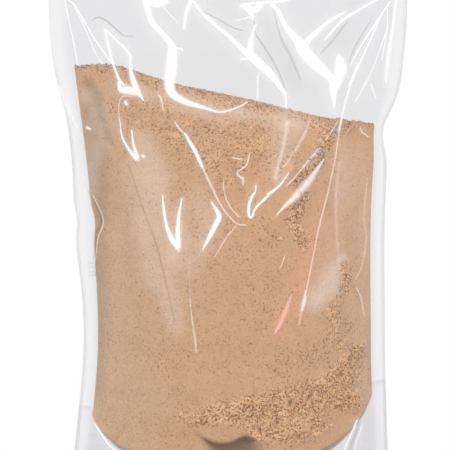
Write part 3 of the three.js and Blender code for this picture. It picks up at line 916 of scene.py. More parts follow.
@dataclass(frozen=True)
class Panel:
    """A panel of film with its creases.

    Args:
        pouch: the bag's form.
        facing: the side of the bag the panel is on.
        creases: its creases, as seen from the front.
        sheen_and_shade: its patches of painted sheen, and of painted shade where a patch's strength is
            negative.
        pitch: the distance between points away from the creases, in millimetres.
        wide_from: the half width from which a crease has the wide tracks, in millimetres.
        margin: how far from the panel's rim its creases keep, in millimetres.
        falloff: the power by which a crease's light falls off to its sides.
        halo: how strong the painted glow is that the brightest creases spread over their reach.
        halo_from: the strength above which a crease has that painted glow.
        rounding: how much rounder than a tent a crease stands out.
        highest: the most that creases lift the film together, in millimetres.
        fade: how far from the seals the creases flatten out, in millimetres.
        side_edge: the shares of the half width between which a side seal's look comes on.
        top_edge: where the top seal's look comes on, past its foot, in millimetres.
    """

    pouch: Pouch
    facing: Facing
    creases: tuple[Crease, ...]
    sheen_and_shade: tuple[Patch, ...] = ()
    pitch: float = 2.3
    wide_from: float = 0.9
    margin: float = 0.5
    falloff: float = 2.4
    halo: float = 0.1
    halo_from: float = 0.6
    rounding: float = 0.6
    highest: float = 3.2
    fade: float = 10.0
    side_edge: tuple[float, float] = (0.995, 1.03)
    top_edge: tuple[float, float] = (-0.5, 1.0)

    def flattened(self, share: np.ndarray, z: np.ndarray) -> np.ndarray:
        """Points of the panel laid out flat, with the side seals outside the flat half width."""
        inner = np.clip(share, -1, 1)
        return np.stack([inner * FLAT_HALF + (share - inner) * self.pouch.side_seal, z], axis=-1)

    def shares(self, flat: np.ndarray) -> np.ndarray:
        """The share of the half width of points laid out flat."""
        inner = np.clip(flat[:, 0], -FLAT_HALF, FLAT_HALF)
        return inner / FLAT_HALF + (flat[:, 0] - inner) / self.pouch.side_seal

    def lines(self) -> list[FlatCrease]:
        """The creases laid out flat.

        Returns:
            One line for each crease.
        """
        made = []
        for crease in self.creases:
            rows = crease.sampled()
            along = np.gradient(rows[:, :2], axis=0)
            along /= np.maximum(np.linalg.norm(along, axis=1, keepdims=True), TINY)
            aside = np.stack([-along[:, 1], along[:, 0]], axis=1)
            tracks = []
            for shift in FINE_TRACKS if rows[:, 2].max() < self.wide_from else WIDE_TRACKS:
                at = rows[:, :2] + aside * rows[:, 2:] * shift * SOFTENING
                tracks.append(self.flattened(*self.pouch.seen(self.facing, at[:, 0], at[:, 1])))
            centre = self.flattened(*self.pouch.seen(self.facing, rows[:, 0], rows[:, 1]))
            made.append(FlatCrease(crease, np.hstack([centre, rows[:, 2:] * SOFTENING]), tracks))
        return made

    def net(self, lines: list[FlatCrease]) -> tuple[np.ndarray, np.ndarray]:
        """Triangles over the flat panel, with edges along the creases.

        Args:
            lines: the creases laid out flat.

        Returns:
            The flat points and the triangles.
        """
        pouch = self.pouch
        side = FLAT_HALF + pouch.side_seal
        in_seal = side - pouch.side_seal / 2
        between = np.linspace(-FLAT_HALF, FLAT_HALF, int(round(2 * FLAT_HALF / self.pitch)) + 1)
        xs = np.concatenate([[-side, -in_seal], between, [in_seal, side]])
        below = np.linspace(0, pouch.seal_foot, int(pouch.seal_foot / self.pitch) + 1)
        zs = np.concatenate([below, [pouch.height - pouch.top_seal / 2, pouch.height]])
        grid = np.stack(np.meshgrid(xs, zs), axis=-1).reshape(-1, 2)
        low = [self.margin - side, self.margin]
        high = [side - self.margin, pouch.height - self.margin]
        points, edges = [grid], []
        count = len(grid)
        for line in lines:
            for track in line.tracks:
                points.append(np.clip(track, low, high))
                edges += [(count + k, count + k + 1) for k in range(len(track) - 1)]
                count += len(track)
        flat = [Vector(point) for point in np.vstack(points).tolist()]
        verts, _, faces, *_ = geometry.delaunay_2d_cdt(flat, edges, [], 0, MERGE, False)
        return np.array([tuple(v) for v in verts]), np.array(faces)

    def light(self, crease: Crease, away: np.ndarray, width: np.ndarray) -> np.ndarray:
        """How strongly a crease's painted highlight or painted shade shows beside its middle.

        Args:
            crease: the crease.
            away: how far points are from its middle.
            width: its half width beside each.

        Returns:
            Its light at each point, from 0 to 1.
        """
        light = np.clip(1 - (away / width) ** 2, 0, 1) ** self.falloff
        if crease.strength > self.halo_from:
            light = light + self.halo * np.clip(1 - away / crease.reach, 0, 1) ** 2 * (1 - light)
        return light

    def creased(self, lines: list[FlatCrease], flat: np.ndarray) -> tuple[np.ndarray, Marks]:
        """What the creases do to the film.

        Args:
            lines: the creases laid out flat.
            flat: the panel's points laid out flat.

        Returns:
            How far each point is lifted, and the marks of painted highlight, painted shade and the
            highlight's pinkness.
        """
        relief, glint, shade, pink_reflection = np.zeros((4, len(flat)))
        for line in lines:
            crease, middle = line.crease, line.middle
            low = middle[:, :2].min(axis=0) - crease.reach
            high = middle[:, :2].max(axis=0) + crease.reach
            near = np.flatnonzero(((flat > low) & (flat < high)).all(axis=1))
            if not len(near):
                continue
            away, width = nearest(flat[near], middle)
            light = self.light(crease, away, width)
            if crease.strength > 0:
                pink_reflection[near] = np.where(crease.strength * light > glint[near], crease.pink_reflection, pink_reflection[near])
                glint[near] = np.maximum(glint[near], crease.strength * light)
            else:
                shade[near] = np.maximum(shade[near], -crease.strength * light)
            tent = np.clip(1 - away / crease.reach, 0, 1)
            relief[near] += crease.rise * tent * tent * (1 + self.rounding - self.rounding * tent)
        return relief, {"glint": glint, "shade": shade, "pink_reflection": pink_reflection}

    def with_sheen_and_shade(self, marks: Marks, points: np.ndarray, share: np.ndarray) -> Marks:
        """The creases' marks with the patches of painted sheen and painted shade over them.

        Args:
            marks: the creases' marks of painted highlight, painted shade and pinkness.
            points: the panel's points.
            share: their shares of the half width.

        Returns:
            The same three marks.
        """
        glint, shade, pink_reflection = marks["glint"], marks["shade"], marks["pink_reflection"]
        # painted sheen lightens the film through its glint mark; painted shade darkens it where a patch's
        # strength is negative
        for painted_patch in self.sheen_and_shade:
            painted_amount = painted_patch.over(*as_seen(points))
            if painted_patch.strength < 0:
                shade = np.maximum(shade, -painted_amount * (np.abs(share) < 1))
            else:
                both = (pink_reflection * glint + painted_patch.pink_reflection * painted_amount) / (glint + painted_amount + TINY)
                pink_reflection = np.where(glint + painted_amount > 0, both, 0)
                glint = glint + painted_amount * (1 - glint)
        return {"glint": glint, "shade": shade, "pink_reflection": pink_reflection}

    def surface(self) -> Surface:
        """The panel's middle surface.

        Returns:
            The creased surface, with the marks of painted highlight, painted shade, pinkness and seal.
        """
        lines = self.lines()
        flat, faces = self.net(lines)
        share, z = self.shares(flat), flat[:, 1]
        relief, marks = self.creased(lines, flat)
        relief = np.minimum(relief, self.highest)
        room = np.minimum((1 - np.abs(share)) * FLAT_HALF, self.pouch.seal_foot - z)
        relief *= np.clip(room / self.fade, 0, 1)
        seal = smoothstep(np.abs(share), *self.side_edge)
        low, high = self.top_edge
        seal = np.maximum(seal, smoothstep(z, self.pouch.seal_foot + low, self.pouch.seal_foot + high))
        points = self.pouch.panel(self.facing, share, z, relief)
        corners = points[faces]
        way = np.cross(corners[:, 1] - corners[:, 0], corners[:, 2] - corners[:, 0])[:, 1].sum()
        if way * self.facing.value < 0:
            faces = faces[:, ::-1]
        return Surface(points, faces, {**self.with_sheen_and_shade(marks, points, share), "seal": seal})


@dataclass(frozen=True)
class Gusset:
    """The folded sheet that forms the base: up inside the front panel, across, and down inside the back one.

    Args:
        pouch: the bag's form.
        columns: stations across the bag.
        skirt: steps up a panel.
        base: steps across the base.
        step: how far to each side of a point a panel's slope is read, in millimetres.
        seal_edge: the shares of the half width between which a side seal's look comes on.
    """

    pouch: Pouch
    columns: int = 90
    skirt: int = 10
    base: int = 28
    step: float = 0.5
    seal_edge: tuple[float, float] = (0.99, 1.02)

    def inside(self, facing: Facing, share: np.ndarray, z: np.ndarray) -> np.ndarray:
        """Points a film and a gap inside a panel.

        Args:
            facing: the panel.
            share: shares of the half width.
            z: heights.

        Returns:
            An array of (x, y, z) rows.
        """
        panel = self.pouch.panel
        aside = self.step / self.pouch.inner_half
        here = panel(facing, share, z)
        across = panel(facing, share + aside, z) - panel(facing, share - aside, z)
        along = panel(facing, share, z + self.step) - panel(facing, share, z - self.step)
        normal = np.cross(across, along)
        normal /= np.linalg.norm(normal, axis=-1, keepdims=True)
        moved = here + normal * self.pouch.layer_step * facing.value
        moved[..., 2] = z
        return moved

    def surface(self) -> Surface:
        """The gusset's middle surface.

        Returns:
            The surface, with the mark seal.
        """
        inner = np.sin(np.linspace(-1, 1, self.columns) * np.pi / 2)
        shares = np.concatenate([[-2, -1.5], inner, [1.5, 2]])
        height = self.pouch.gusset_height(shares)
        ups = np.linspace(0, 1, self.skirt + 1)
        rows = [self.inside(Facing.FRONT, shares, height * up) for up in ups]
        back = [self.inside(Facing.BACK, shares, height * up) for up in ups[::-1]]
        front_top, back_top = rows[-1], back[0]
        wide = np.maximum(0, 1 - np.abs(shares) ** self.pouch.fullness)
        for t in np.linspace(0, 1, self.base + 1)[1:-1]:
            row = front_top + (back_top - front_top) * t
            bow = math.sqrt(1 - (2 * t - 1) ** 2)
            row[:, 2] = np.maximum(self.pouch.film / 2, height - self.pouch.base_sag * bow * wide)
            rows.append(row)
        grid = np.stack(rows + back, axis=1)
        share = np.repeat(shares, grid.shape[1])
        seal = smoothstep(np.abs(share), *self.seal_edge)
        return Surface(grid.reshape(-1, 3), grid_faces(*grid.shape[:2]), {"seal": seal})


def grid_faces(rows: int, columns: int, closed: bool = False) -> np.ndarray:
    """Quads over a grid of points numbered row by row.

    Args:
        rows: how many rows it has.
        columns: how many points are in a row.
        closed: whether each row joins up into a loop.

    Returns:
        The quads as rows of point numbers.
    """
    i, j = np.meshgrid(np.arange(rows - 1), np.arange(columns if closed else columns - 1), indexing="ij")
    right = (j + 1) % columns
    corners = [i * columns + j, i * columns + right, (i + 1) * columns + right, (i + 1) * columns + j]
    return np.stack([c.ravel() for c in corners], axis=1)


@dataclass(frozen=True)
class Tuck:
    """Where the powder is tucked under at the front of its foot, as seen from the front, in millimetres.

    Args:
        lip: (x, z) points of the edge that it is tucked under.
        corner: where its left side meets the height of the lip's left end.
        slant: how far that side leans to the right for each millimetre down.
        left: where it begins and is full, past that side.
        right: where it begins to end and has ended, across.
        below: where it begins and is full, below the lip.
        foot: the heights between which it comes on above the floor.
        front: the place along Y in front of which powder is tucked under.
        depth: how far back the powder is pushed.
    """

    lip: Stations = (
        (-19.0, 22.5),
        (-10.0, 17.0),
        (-4.0, 16.2),
        (1.0, 17.0),
        (7.7, 20.0),
        (13.0, 18.6),
        (18.0, 14.0),
    )
    corner: tuple[float, float] = (-20.2, 22.5)
    slant: float = 0.85
    left: tuple[float, float] = (-1.5, 4.4)
    right: tuple[float, float] = (9.0, 20.0)
    below: tuple[float, float] = (-0.4, 1.8)
    foot: tuple[float, float] = (-4.0, 10.0)
    front: float = -15.0
    depth: float = 4.5

    def over(self, x: np.ndarray, z: np.ndarray) -> np.ndarray:
        """How far the powder is tucked under.

        Args:
            x: where points are across.
            z: their heights.

        Returns:
            The share of the tuck's depth at each.
        """
        lip = smooth_through(x, self.lip)
        across, top = self.corner
        past = x - across - self.slant * (top - z)
        inside = smoothstep(past, *self.left) * (1 - smoothstep(x, *self.right))
        return smoothstep(lip - z, *self.below) * inside * smoothstep(z, *self.foot)


@dataclass(frozen=True)
class Powder:
    """The filling, a little inside the film, with lumps and pits where it is loose. Sizes are in millimetres.

    Args:
        pouch: the bag's form.
        tuck: where it is tucked under.
        columns: stations across the bag.
        rows: points up the front, over the top, down the back and across the base.
        bunching: how closely the stations gather at the sides, from 0 to 1.
        clearance: the gap to the film.
        edge: how far the powder ends from the side seals.
        steepening: the power of the share by which a panel gets steeper, one less than its fullness.
        off_fold: how far above the gusset's fold its walls begin.
        off_floor: how far above the floor it keeps.
        top_height: a height on the front wall near the powder's surface.
        crown_depth: how far below its surface the powder still counts as its crown.
        crown_loose: how loose the crown is.
        sharp: how hard the edges of its loose patches are.
        sunk: how deep loose powder lies under the smooth form.
        sunk_by_lumps: how much its lumps add to that or take from it.
        grain: how uneven pressed powder is.
        deepest: the most that any powder lies under the smooth form.
        crown_lumps: how high the crown's lumps are.
        crown_drop: how far the crown is lowered.
    """

    pouch: Pouch
    tuck: Tuck = Tuck()
    columns: int = 170
    rows: tuple[int, int, int, int] = (195, 36, 60, 24)
    bunching: float = 0.93
    clearance: float = 0.6
    edge: float = 1.3
    steepening: float = 1.3
    off_fold: float = 0.8
    off_floor: float = 0.7
    top_height: float = 200.0
    crown_depth: float = 2.5
    crown_loose: float = 0.8
    sharp: float = 0.6
    sunk: float = 0.75
    sunk_by_lumps: float = 1.5
    grain: float = 0.12
    deepest: float = 3.0
    crown_lumps: float = 1.6
    crown_drop: float = 0.2

    def wall(self, facing: Facing, share: np.ndarray, z: np.ndarray) -> np.ndarray:
        """Points of the powder's face against a panel.

        Args:
            facing: the panel.
            share: shares of the half width.
            z: heights.

        Returns:
            An array of (x, y, z) rows.
        """
        points = self.pouch.panel(facing, share, z)
        fall = self.pouch.depth(z) * self.pouch.fullness * np.abs(share) ** self.steepening
        slope = fall / self.pouch.half_width(share, z)
        points[..., 1] -= facing.value * self.clearance * np.sqrt(1 + slope**2)
        return points

    def roughness(self, x: np.ndarray, z: np.ndarray) -> np.ndarray:
        """How loose the powder is at points seen from the front, from 0 to 1."""
        return np.max([patch.over(x, z, self.sharp) for patch in LOOSE], axis=0)

    def surface(self) -> Surface:
        """The powder's whole outside.

        Returns:
            The closed surface, with the marks loose and under.
        """
        pouch = self.pouch
        limit = 1 - self.edge / pouch.inner_half
        turn = np.pi / 2 * self.bunching
        shares = np.sin(np.linspace(-1, 1, self.columns) * np.pi / 2 * self.bunching) / math.sin(turn) * limit
        foot = pouch.gusset_height(shares) + self.off_fold
        up, over, down, under = self.rows
        front_y = self.wall(Facing.FRONT, shares, np.full_like(shares, self.top_height))[:, 1]
        top = pouch.fill_top(shares, front_y)
        loop = [self.wall(Facing.FRONT, shares, foot + (top - foot) * t) for t in np.linspace(0, 1, up)]
        back = [self.wall(Facing.BACK, shares, foot + (top - foot) * t) for t in np.linspace(1, 0, down)]
        for t in np.linspace(0, 1, over + 2)[1:-1]:
            row = loop[up - 1] + (back[0] - loop[up - 1]) * t
            row[:, 2] = pouch.fill_top(shares, row[:, 1])
            loop.append(row)
        loop += back
        wide = np.maximum(0, 1 - np.abs(shares) ** pouch.fullness)
        for t in np.linspace(0, 1, under + 2)[1:-1]:
            row = back[-1] + (loop[0] - back[-1]) * t
            sag = pouch.base_sag * math.sqrt(1 - (2 * t - 1) ** 2) * wide
            row[:, 2] = np.maximum(self.off_floor, foot - sag)
            loop.append(row)
        grid = np.stack(loop, axis=1)
        columns, count = grid.shape[:2]
        faces = grid_faces(columns, count, closed=True)
        caps = self.cap(grid[0, :, 2])
        closing = [cap[:, ::-1] for cap in caps] + [cap + (columns - 1) * count for cap in caps]
        below = pouch.fill_top(shares[:, None], grid[..., 1]) - grid[..., 2]
        crown = np.exp(-((below / self.crown_depth) ** 2))
        return self.roughened(Surface(grid.reshape(-1, 3), faces, extra=closing), crown.ravel())

    def cap(self, heights: np.ndarray) -> list[np.ndarray]:
        """Faces that close the end of the loop, for the points of its first column.

        Args:
            heights: the heights of the column's points.

        Returns:
            The faces, as blocks with the same number of corners.
        """
        up, over, down, _ = self.rows
        front, back = list(range(up)), [up + over + k for k in range(down)][::-1]
        made, i, j = [], 0, 0
        while i < up - 1 or j < down - 1:
            if j == down - 1 or (i < up - 1 and heights[front[i + 1]] <= heights[back[j + 1]]):
                made.append((front[i], front[i + 1], back[j]))
                i += 1
            else:
                made.append((front[i], back[j + 1], back[j]))
                j += 1
        above = np.arange(up - 1, up + over + 1)[None, :]
        below = np.array([[*range(up + over + down - 1, len(heights)), 0]])
        return [np.array(made), above, below]

    def roughened(self, surface: Surface, crown: np.ndarray) -> Surface:
        """The surface with its lumps, pits and marks.

        Args:
            surface: the smooth outside.
            crown: how near each point is to the powder's top, from 0 to 1.

        Returns:
            The finished surface.
        """
        normals = surface.normals()
        points = surface.points.copy()
        x, z = as_seen(points)
        loose = np.maximum(self.roughness(x, z), self.crown_loose * crown)
        under = self.tuck.over(x, z) * (points[:, 1] < self.tuck.front)
        lumps = np.array([lump(p) for p in points.tolist()])
        inward = loose * (self.sunk + self.sunk_by_lumps * lumps) + self.grain * (0.5 + lumps)
        points -= normals * (np.clip(inward, 0, self.deepest) * (1 - crown))[:, None]
        points[:, 2] += crown * (self.crown_lumps * lumps - self.crown_drop)
        points[:, 1] += self.tuck.depth * under
        return Surface(points, surface.faces, {"loose": loose, "under": under}, surface.extra)


LUMPS = (
    (0.35, 0.16, (0, 0, 0)),
    (0.55, 0.45, (7, 3, 1)),
    (0.6, 0.9, (1, 9, 5)),
)
"""The weight, the waves in a millimetre and the shift of each layer of the powder's lumps."""


def lump(point: list[float]) -> float:
    """Lumpy noise at a point in millimetres, about -1 to 1."""
    place = Vector(point)
    return sum(weight * noise.noise(place * waves + Vector(shift)) for weight, waves, shift in LUMPS)


class Nodes:
    """A small hand for wiring nodes.

    Args:
        tree: the node tree to add to.
    """

    def __init__(self, tree: bpy.types.NodeTree) -> None:
        self.tree = tree
        tree.nodes.clear()

    def add(
        self, kind: str, links: dict[str | int, object] | None = None, **settings: object
    ) -> bpy.types.Node:
        """A new node.

        Args:
            kind: its type.
            links: a constant or another node's socket for each of its inputs.
            settings: its properties.

        Returns:
            The node.
        """
        node = self.tree.nodes.new(kind)
        for name, value in settings.items():
            setattr(node, name, value)
        for key, value in (links or {}).items():
            if isinstance(value, bpy.types.NodeSocket):
                self.tree.links.new(value, node.inputs[key])
            else:
                node.inputs[key].default_value = value
        return node

    def math(self, operation: str, a: object, b: object = 0.0) -> bpy.types.NodeSocket:
        """The result of a calculation on sockets or numbers."""
        return self.add("ShaderNodeMath", {0: a, 1: b}, operation=operation).outputs[0]

    def mixed(self, factor: object, a: object, b: object) -> bpy.types.NodeSocket:
        """A colour between two."""
        node = self.add("ShaderNodeMix", {"Factor": factor, 6: a, 7: b}, data_type="RGBA")
        return node.outputs[2]

    def blended(self, factor: object, a: bpy.types.Node, b: bpy.types.Node) -> bpy.types.Node:
        """A shader between two."""
        return self.add("ShaderNodeMixShader", {0: factor, 1: a.outputs[0], 2: b.outputs[0]})

    def ramp(self, value: object, low: float, high: float) -> bpy.types.NodeSocket:
        """A clamped ramp from 0 at low to 1 at high."""
        return self.add("ShaderNodeMapRange", {0: value, 1: low, 2: high}).outputs[0]

    def mark(self, name: str) -> bpy.types.NodeSocket:
        """A mesh attribute's value."""
        return self.add("ShaderNodeAttribute", attribute_name=name).outputs["Fac"]


@dataclass(frozen=True)
class Crumbs:
    """Loose crumbs over the rough powder, spread by a node tree.

    Args:
        seed: the spread's seed.
        density: crumbs in a square metre where the powder is roughest.
        smallest: the smallest crumb's radius, in millimetres.
        largest: the largest crumb's radius, in millimetres.
        gathering: the power of the powder's looseness by which crumbs gather.
        slimmest: the least that a crumb is stretched along each of its axes.
        widest: the most that it is stretched.
        full_turn: the widest angle that it is turned by, in radians.
    """

    seed: int = 11
    density: float = 440000.0
    smallest: float = 0.16
    largest: float = 0.44
    gathering: float = 2.0
    slimmest: tuple[float, float, float] = (0.7, 0.7, 0.55)
    widest: tuple[float, float, float] = (1.25, 1.1, 1.0)
    full_turn: float = 6.28

    def tree(self) -> bpy.types.NodeTree:
        """The node tree: points on the loose faces, a crumb on each, made real and given its finish.

        Returns:
            The tree, which takes a mesh, the crumbs' numbers and their finish.
        """
        group = bpy.data.node_groups.new("crumbs", "GeometryNodeTree")
        for label, kind in (
            ("Geometry", "Geometry"),
            ("Density", "Float"),
            ("Seed", "Int"),
            ("Smallest", "Float"),
            ("Largest", "Float"),
            ("Finish", "Material"),
        ):
            group.interface.new_socket(label, in_out="INPUT", socket_type=f"NodeSocket{kind}")
        group.interface.new_socket("Geometry", in_out="OUTPUT", socket_type="NodeSocketGeometry")
        nodes = Nodes(group)
        given = nodes.add("NodeGroupInput").outputs
        loose = nodes.add("GeometryNodeInputNamedAttribute", {"Name": "loose"}, data_type="FLOAT")
        power = nodes.math("POWER", loose.outputs["Attribute"], self.gathering)
        dense = nodes.math("MULTIPLY", power, given["Density"])
        where = {"Mesh": given["Geometry"], "Density": dense, "Seed": given["Seed"]}
        spread = nodes.add("GeometryNodeDistributePointsOnFaces", where)
        crumb = nodes.add("GeometryNodeMeshIcoSphere", {"Radius": MM, "Subdivisions": 1})
        radii = {2: given["Smallest"], 3: given["Largest"]}
        size = nodes.add("FunctionNodeRandomValue", radii, data_type="FLOAT").outputs[1]
        turns = {"Max": (self.full_turn,) * 3}
        turn = nodes.add("FunctionNodeRandomValue", turns, data_type="FLOAT_VECTOR").outputs[0]
        shapes = {"Min": self.slimmest, "Max": self.widest}
        shape = nodes.add("FunctionNodeRandomValue", shapes, data_type="FLOAT_VECTOR").outputs[0]
        scale = nodes.add("ShaderNodeVectorMath", {0: shape, "Scale": size}, operation="SCALE").outputs[0]
        placed = {
            "Points": spread.outputs["Points"],
            "Instance": crumb.outputs["Mesh"],
            "Rotation": turn,
            "Scale": scale,
        }
        crumbs = nodes.add("GeometryNodeInstanceOnPoints", placed).outputs["Instances"]
        real = nodes.add("GeometryNodeRealizeInstances", {"Geometry": crumbs}).outputs["Geometry"]
        finished = {"Geometry": real, "Material": given["Finish"]}
        finish = nodes.add("GeometryNodeSetMaterial", finished)
        nodes.add("NodeGroupOutput", {"Geometry": finish.outputs["Geometry"]})
        return group

    def build(self, powder: bpy.types.Object, finish: bpy.types.Material) -> bpy.types.Object:
        """The crumbs on a powder mesh, as a plain mesh.

        Args:
            powder: the powder they lie on.
            finish: their material.

        Returns:
            The new object.
        """
        carrier = bpy.data.objects.new("crumb_carrier", powder.data.copy())
        bpy.context.scene.collection.objects.link(carrier)
        modifier = carrier.modifiers.new("crumbs", "NODES")
        group = self.tree()
        modifier.node_group = group
        values = {
            "Density": self.density,
            "Seed": self.seed,
            "Smallest": self.smallest,
            "Largest": self.largest,
            "Finish": finish,
        }
        for item in group.interface.items_tree:
            if item.item_type == "SOCKET" and item.in_out == "INPUT" and item.name in values:
                modifier[item.identifier] = values[item.name]
        bpy.context.view_layer.update()
        shown = carrier.evaluated_get(bpy.context.evaluated_depsgraph_get())
        mesh = bpy.data.meshes.new_from_object(shown)
        carrier.modifiers.clear()
        bpy.data.objects.remove(carrier)
        mesh.name = "powder_crumbs"
        made = bpy.data.objects.new("powder_crumbs", mesh)
        bpy.context.scene.collection.objects.link(made)
        return made


@dataclass(frozen=True)
class FilmFinish:
    """Clear glossy film: it lets light through and mirrors a little; painted highlights, painted shade and a
    painted pink reflection are laid on it by the mesh's marks.

    Args:
        name: the material's name.
        tint: what a face lets through.
        cool: how much more blue it lets through.
        seal_tint: what a face lets through in a heat seal.
        seal_cool: how much more blue a seal lets through.
        dark_tint: what a face lets through where its painted shade is darkest.
        dark_shares: the red, green and blue of that painted shade, as shares of that.
        gloss: how much a face mirrors where it is seen square on.
        edge_gloss: how much more it mirrors where it is seen edge on.
        edge_power: the power by which that grows towards the edge.
        roughness: how blurred its mirror image is.
        shine: how much brighter than white paper the painted highlights of its creases glow, as emission.
        glow_through: the share of a crease's painted highlight that shows from behind it.
        pink: the colour of a crease's painted highlight where its painted pink reflection is strongest.
    """

    name: str
    tint: float = 0.945
    cool: float = 0.004
    seal_tint: float = 0.973
    seal_cool: float = 0.003
    dark_tint: float = 0.25
    dark_shares: tuple[float, float, float] = (1.0, 0.97, 0.96)
    gloss: float = 0.02
    edge_gloss: float = 0.4
    edge_power: float = 2.0
    roughness: float = 0.09
    shine: float = 0.13
    glow_through: float = 0.35
    pink: Colour = (1, 0.6, 0.5, 1)

    def build(self) -> bpy.types.Material:
        """The material.

        Returns:
            Clear film mixed with white light where the mesh is marked glint.
        """
        material = bpy.data.materials.new(self.name)
        material.use_nodes = True
        nodes = Nodes(material.node_tree)
        clear = (self.tint, self.tint, self.tint + self.cool, 1)
        sealed = (self.seal_tint, self.seal_tint, self.seal_tint + self.seal_cool, 1)
        dark = (*(self.dark_tint * share for share in self.dark_shares), 1)
        colour = nodes.mixed(nodes.mark("seal"), clear, sealed)
        # painted shade: what the film lets through is darkened where the mesh is marked shade
        colour = nodes.mixed(nodes.mark("shade"), colour, dark)
        through = nodes.add("ShaderNodeBsdfTransparent", {"Color": colour})
        mirror = nodes.add("ShaderNodeBsdfGlossy", {"Color": WHITE, "Roughness": self.roughness})
        facing = nodes.add("ShaderNodeLayerWeight", {"Blend": 0.5}).outputs["Facing"]
        edge = nodes.math("MULTIPLY", nodes.math("POWER", facing, self.edge_power), self.edge_gloss)
        film = nodes.blended(nodes.math("ADD", edge, self.gloss), through, mirror)
        # painted highlight: white diffuse and translucent light, pink by the painted reflection mark, mixed
        # in where the mesh is marked glint
        light = nodes.mixed(nodes.mark("pink_reflection"), WHITE, self.pink)
        white = nodes.add("ShaderNodeBsdfDiffuse", {"Color": light})
        behind = nodes.add("ShaderNodeBsdfTranslucent", {"Color": light})
        white = nodes.blended(self.glow_through, white, behind)
        # the painted highlight glows by emission, though it is no lamp
        shine = nodes.add("ShaderNodeEmission", {"Color": light, "Strength": self.shine})
        white = nodes.add("ShaderNodeAddShader", {0: white.outputs[0], 1: shine.outputs[0]})
        lit = nodes.blended(nodes.mark("glint"), film, white)
        nodes.add("ShaderNodeOutputMaterial", {"Surface": lit.outputs[0]})
        return material


@dataclass(frozen=True)
class Grain:
    """A layer of noise over the powder, and how much of it shows.

    Args:
        scale: how many waves it has in a metre.
        detail: how many finer layers it has.
        low: the noise at which it begins to show.
        high: the noise at which it shows fully.
        amount: how strongly it shows there.
        roughness: how strong its finer layers are.
    """

    scale: float
    detail: float
    low: float
    high: float
    amount: float = 1.0
    roughness: float = 0.62

    def noise(self, nodes: Nodes, place: bpy.types.NodeSocket) -> bpy.types.NodeSocket:
        """The noise itself, at the coordinates of a socket."""
        settings = {"Vector": place, "Scale": self.scale, "Detail": self.detail, "Roughness": self.roughness}
        return nodes.add("ShaderNodeTexNoise", settings).outputs["Fac"]

    def shown(self, nodes: Nodes, noise_value: bpy.types.NodeSocket) -> bpy.types.NodeSocket:
        """How far the layer shows for a value of its noise, from 0 to 1."""
        return nodes.ramp(noise_value, self.low, self.high)


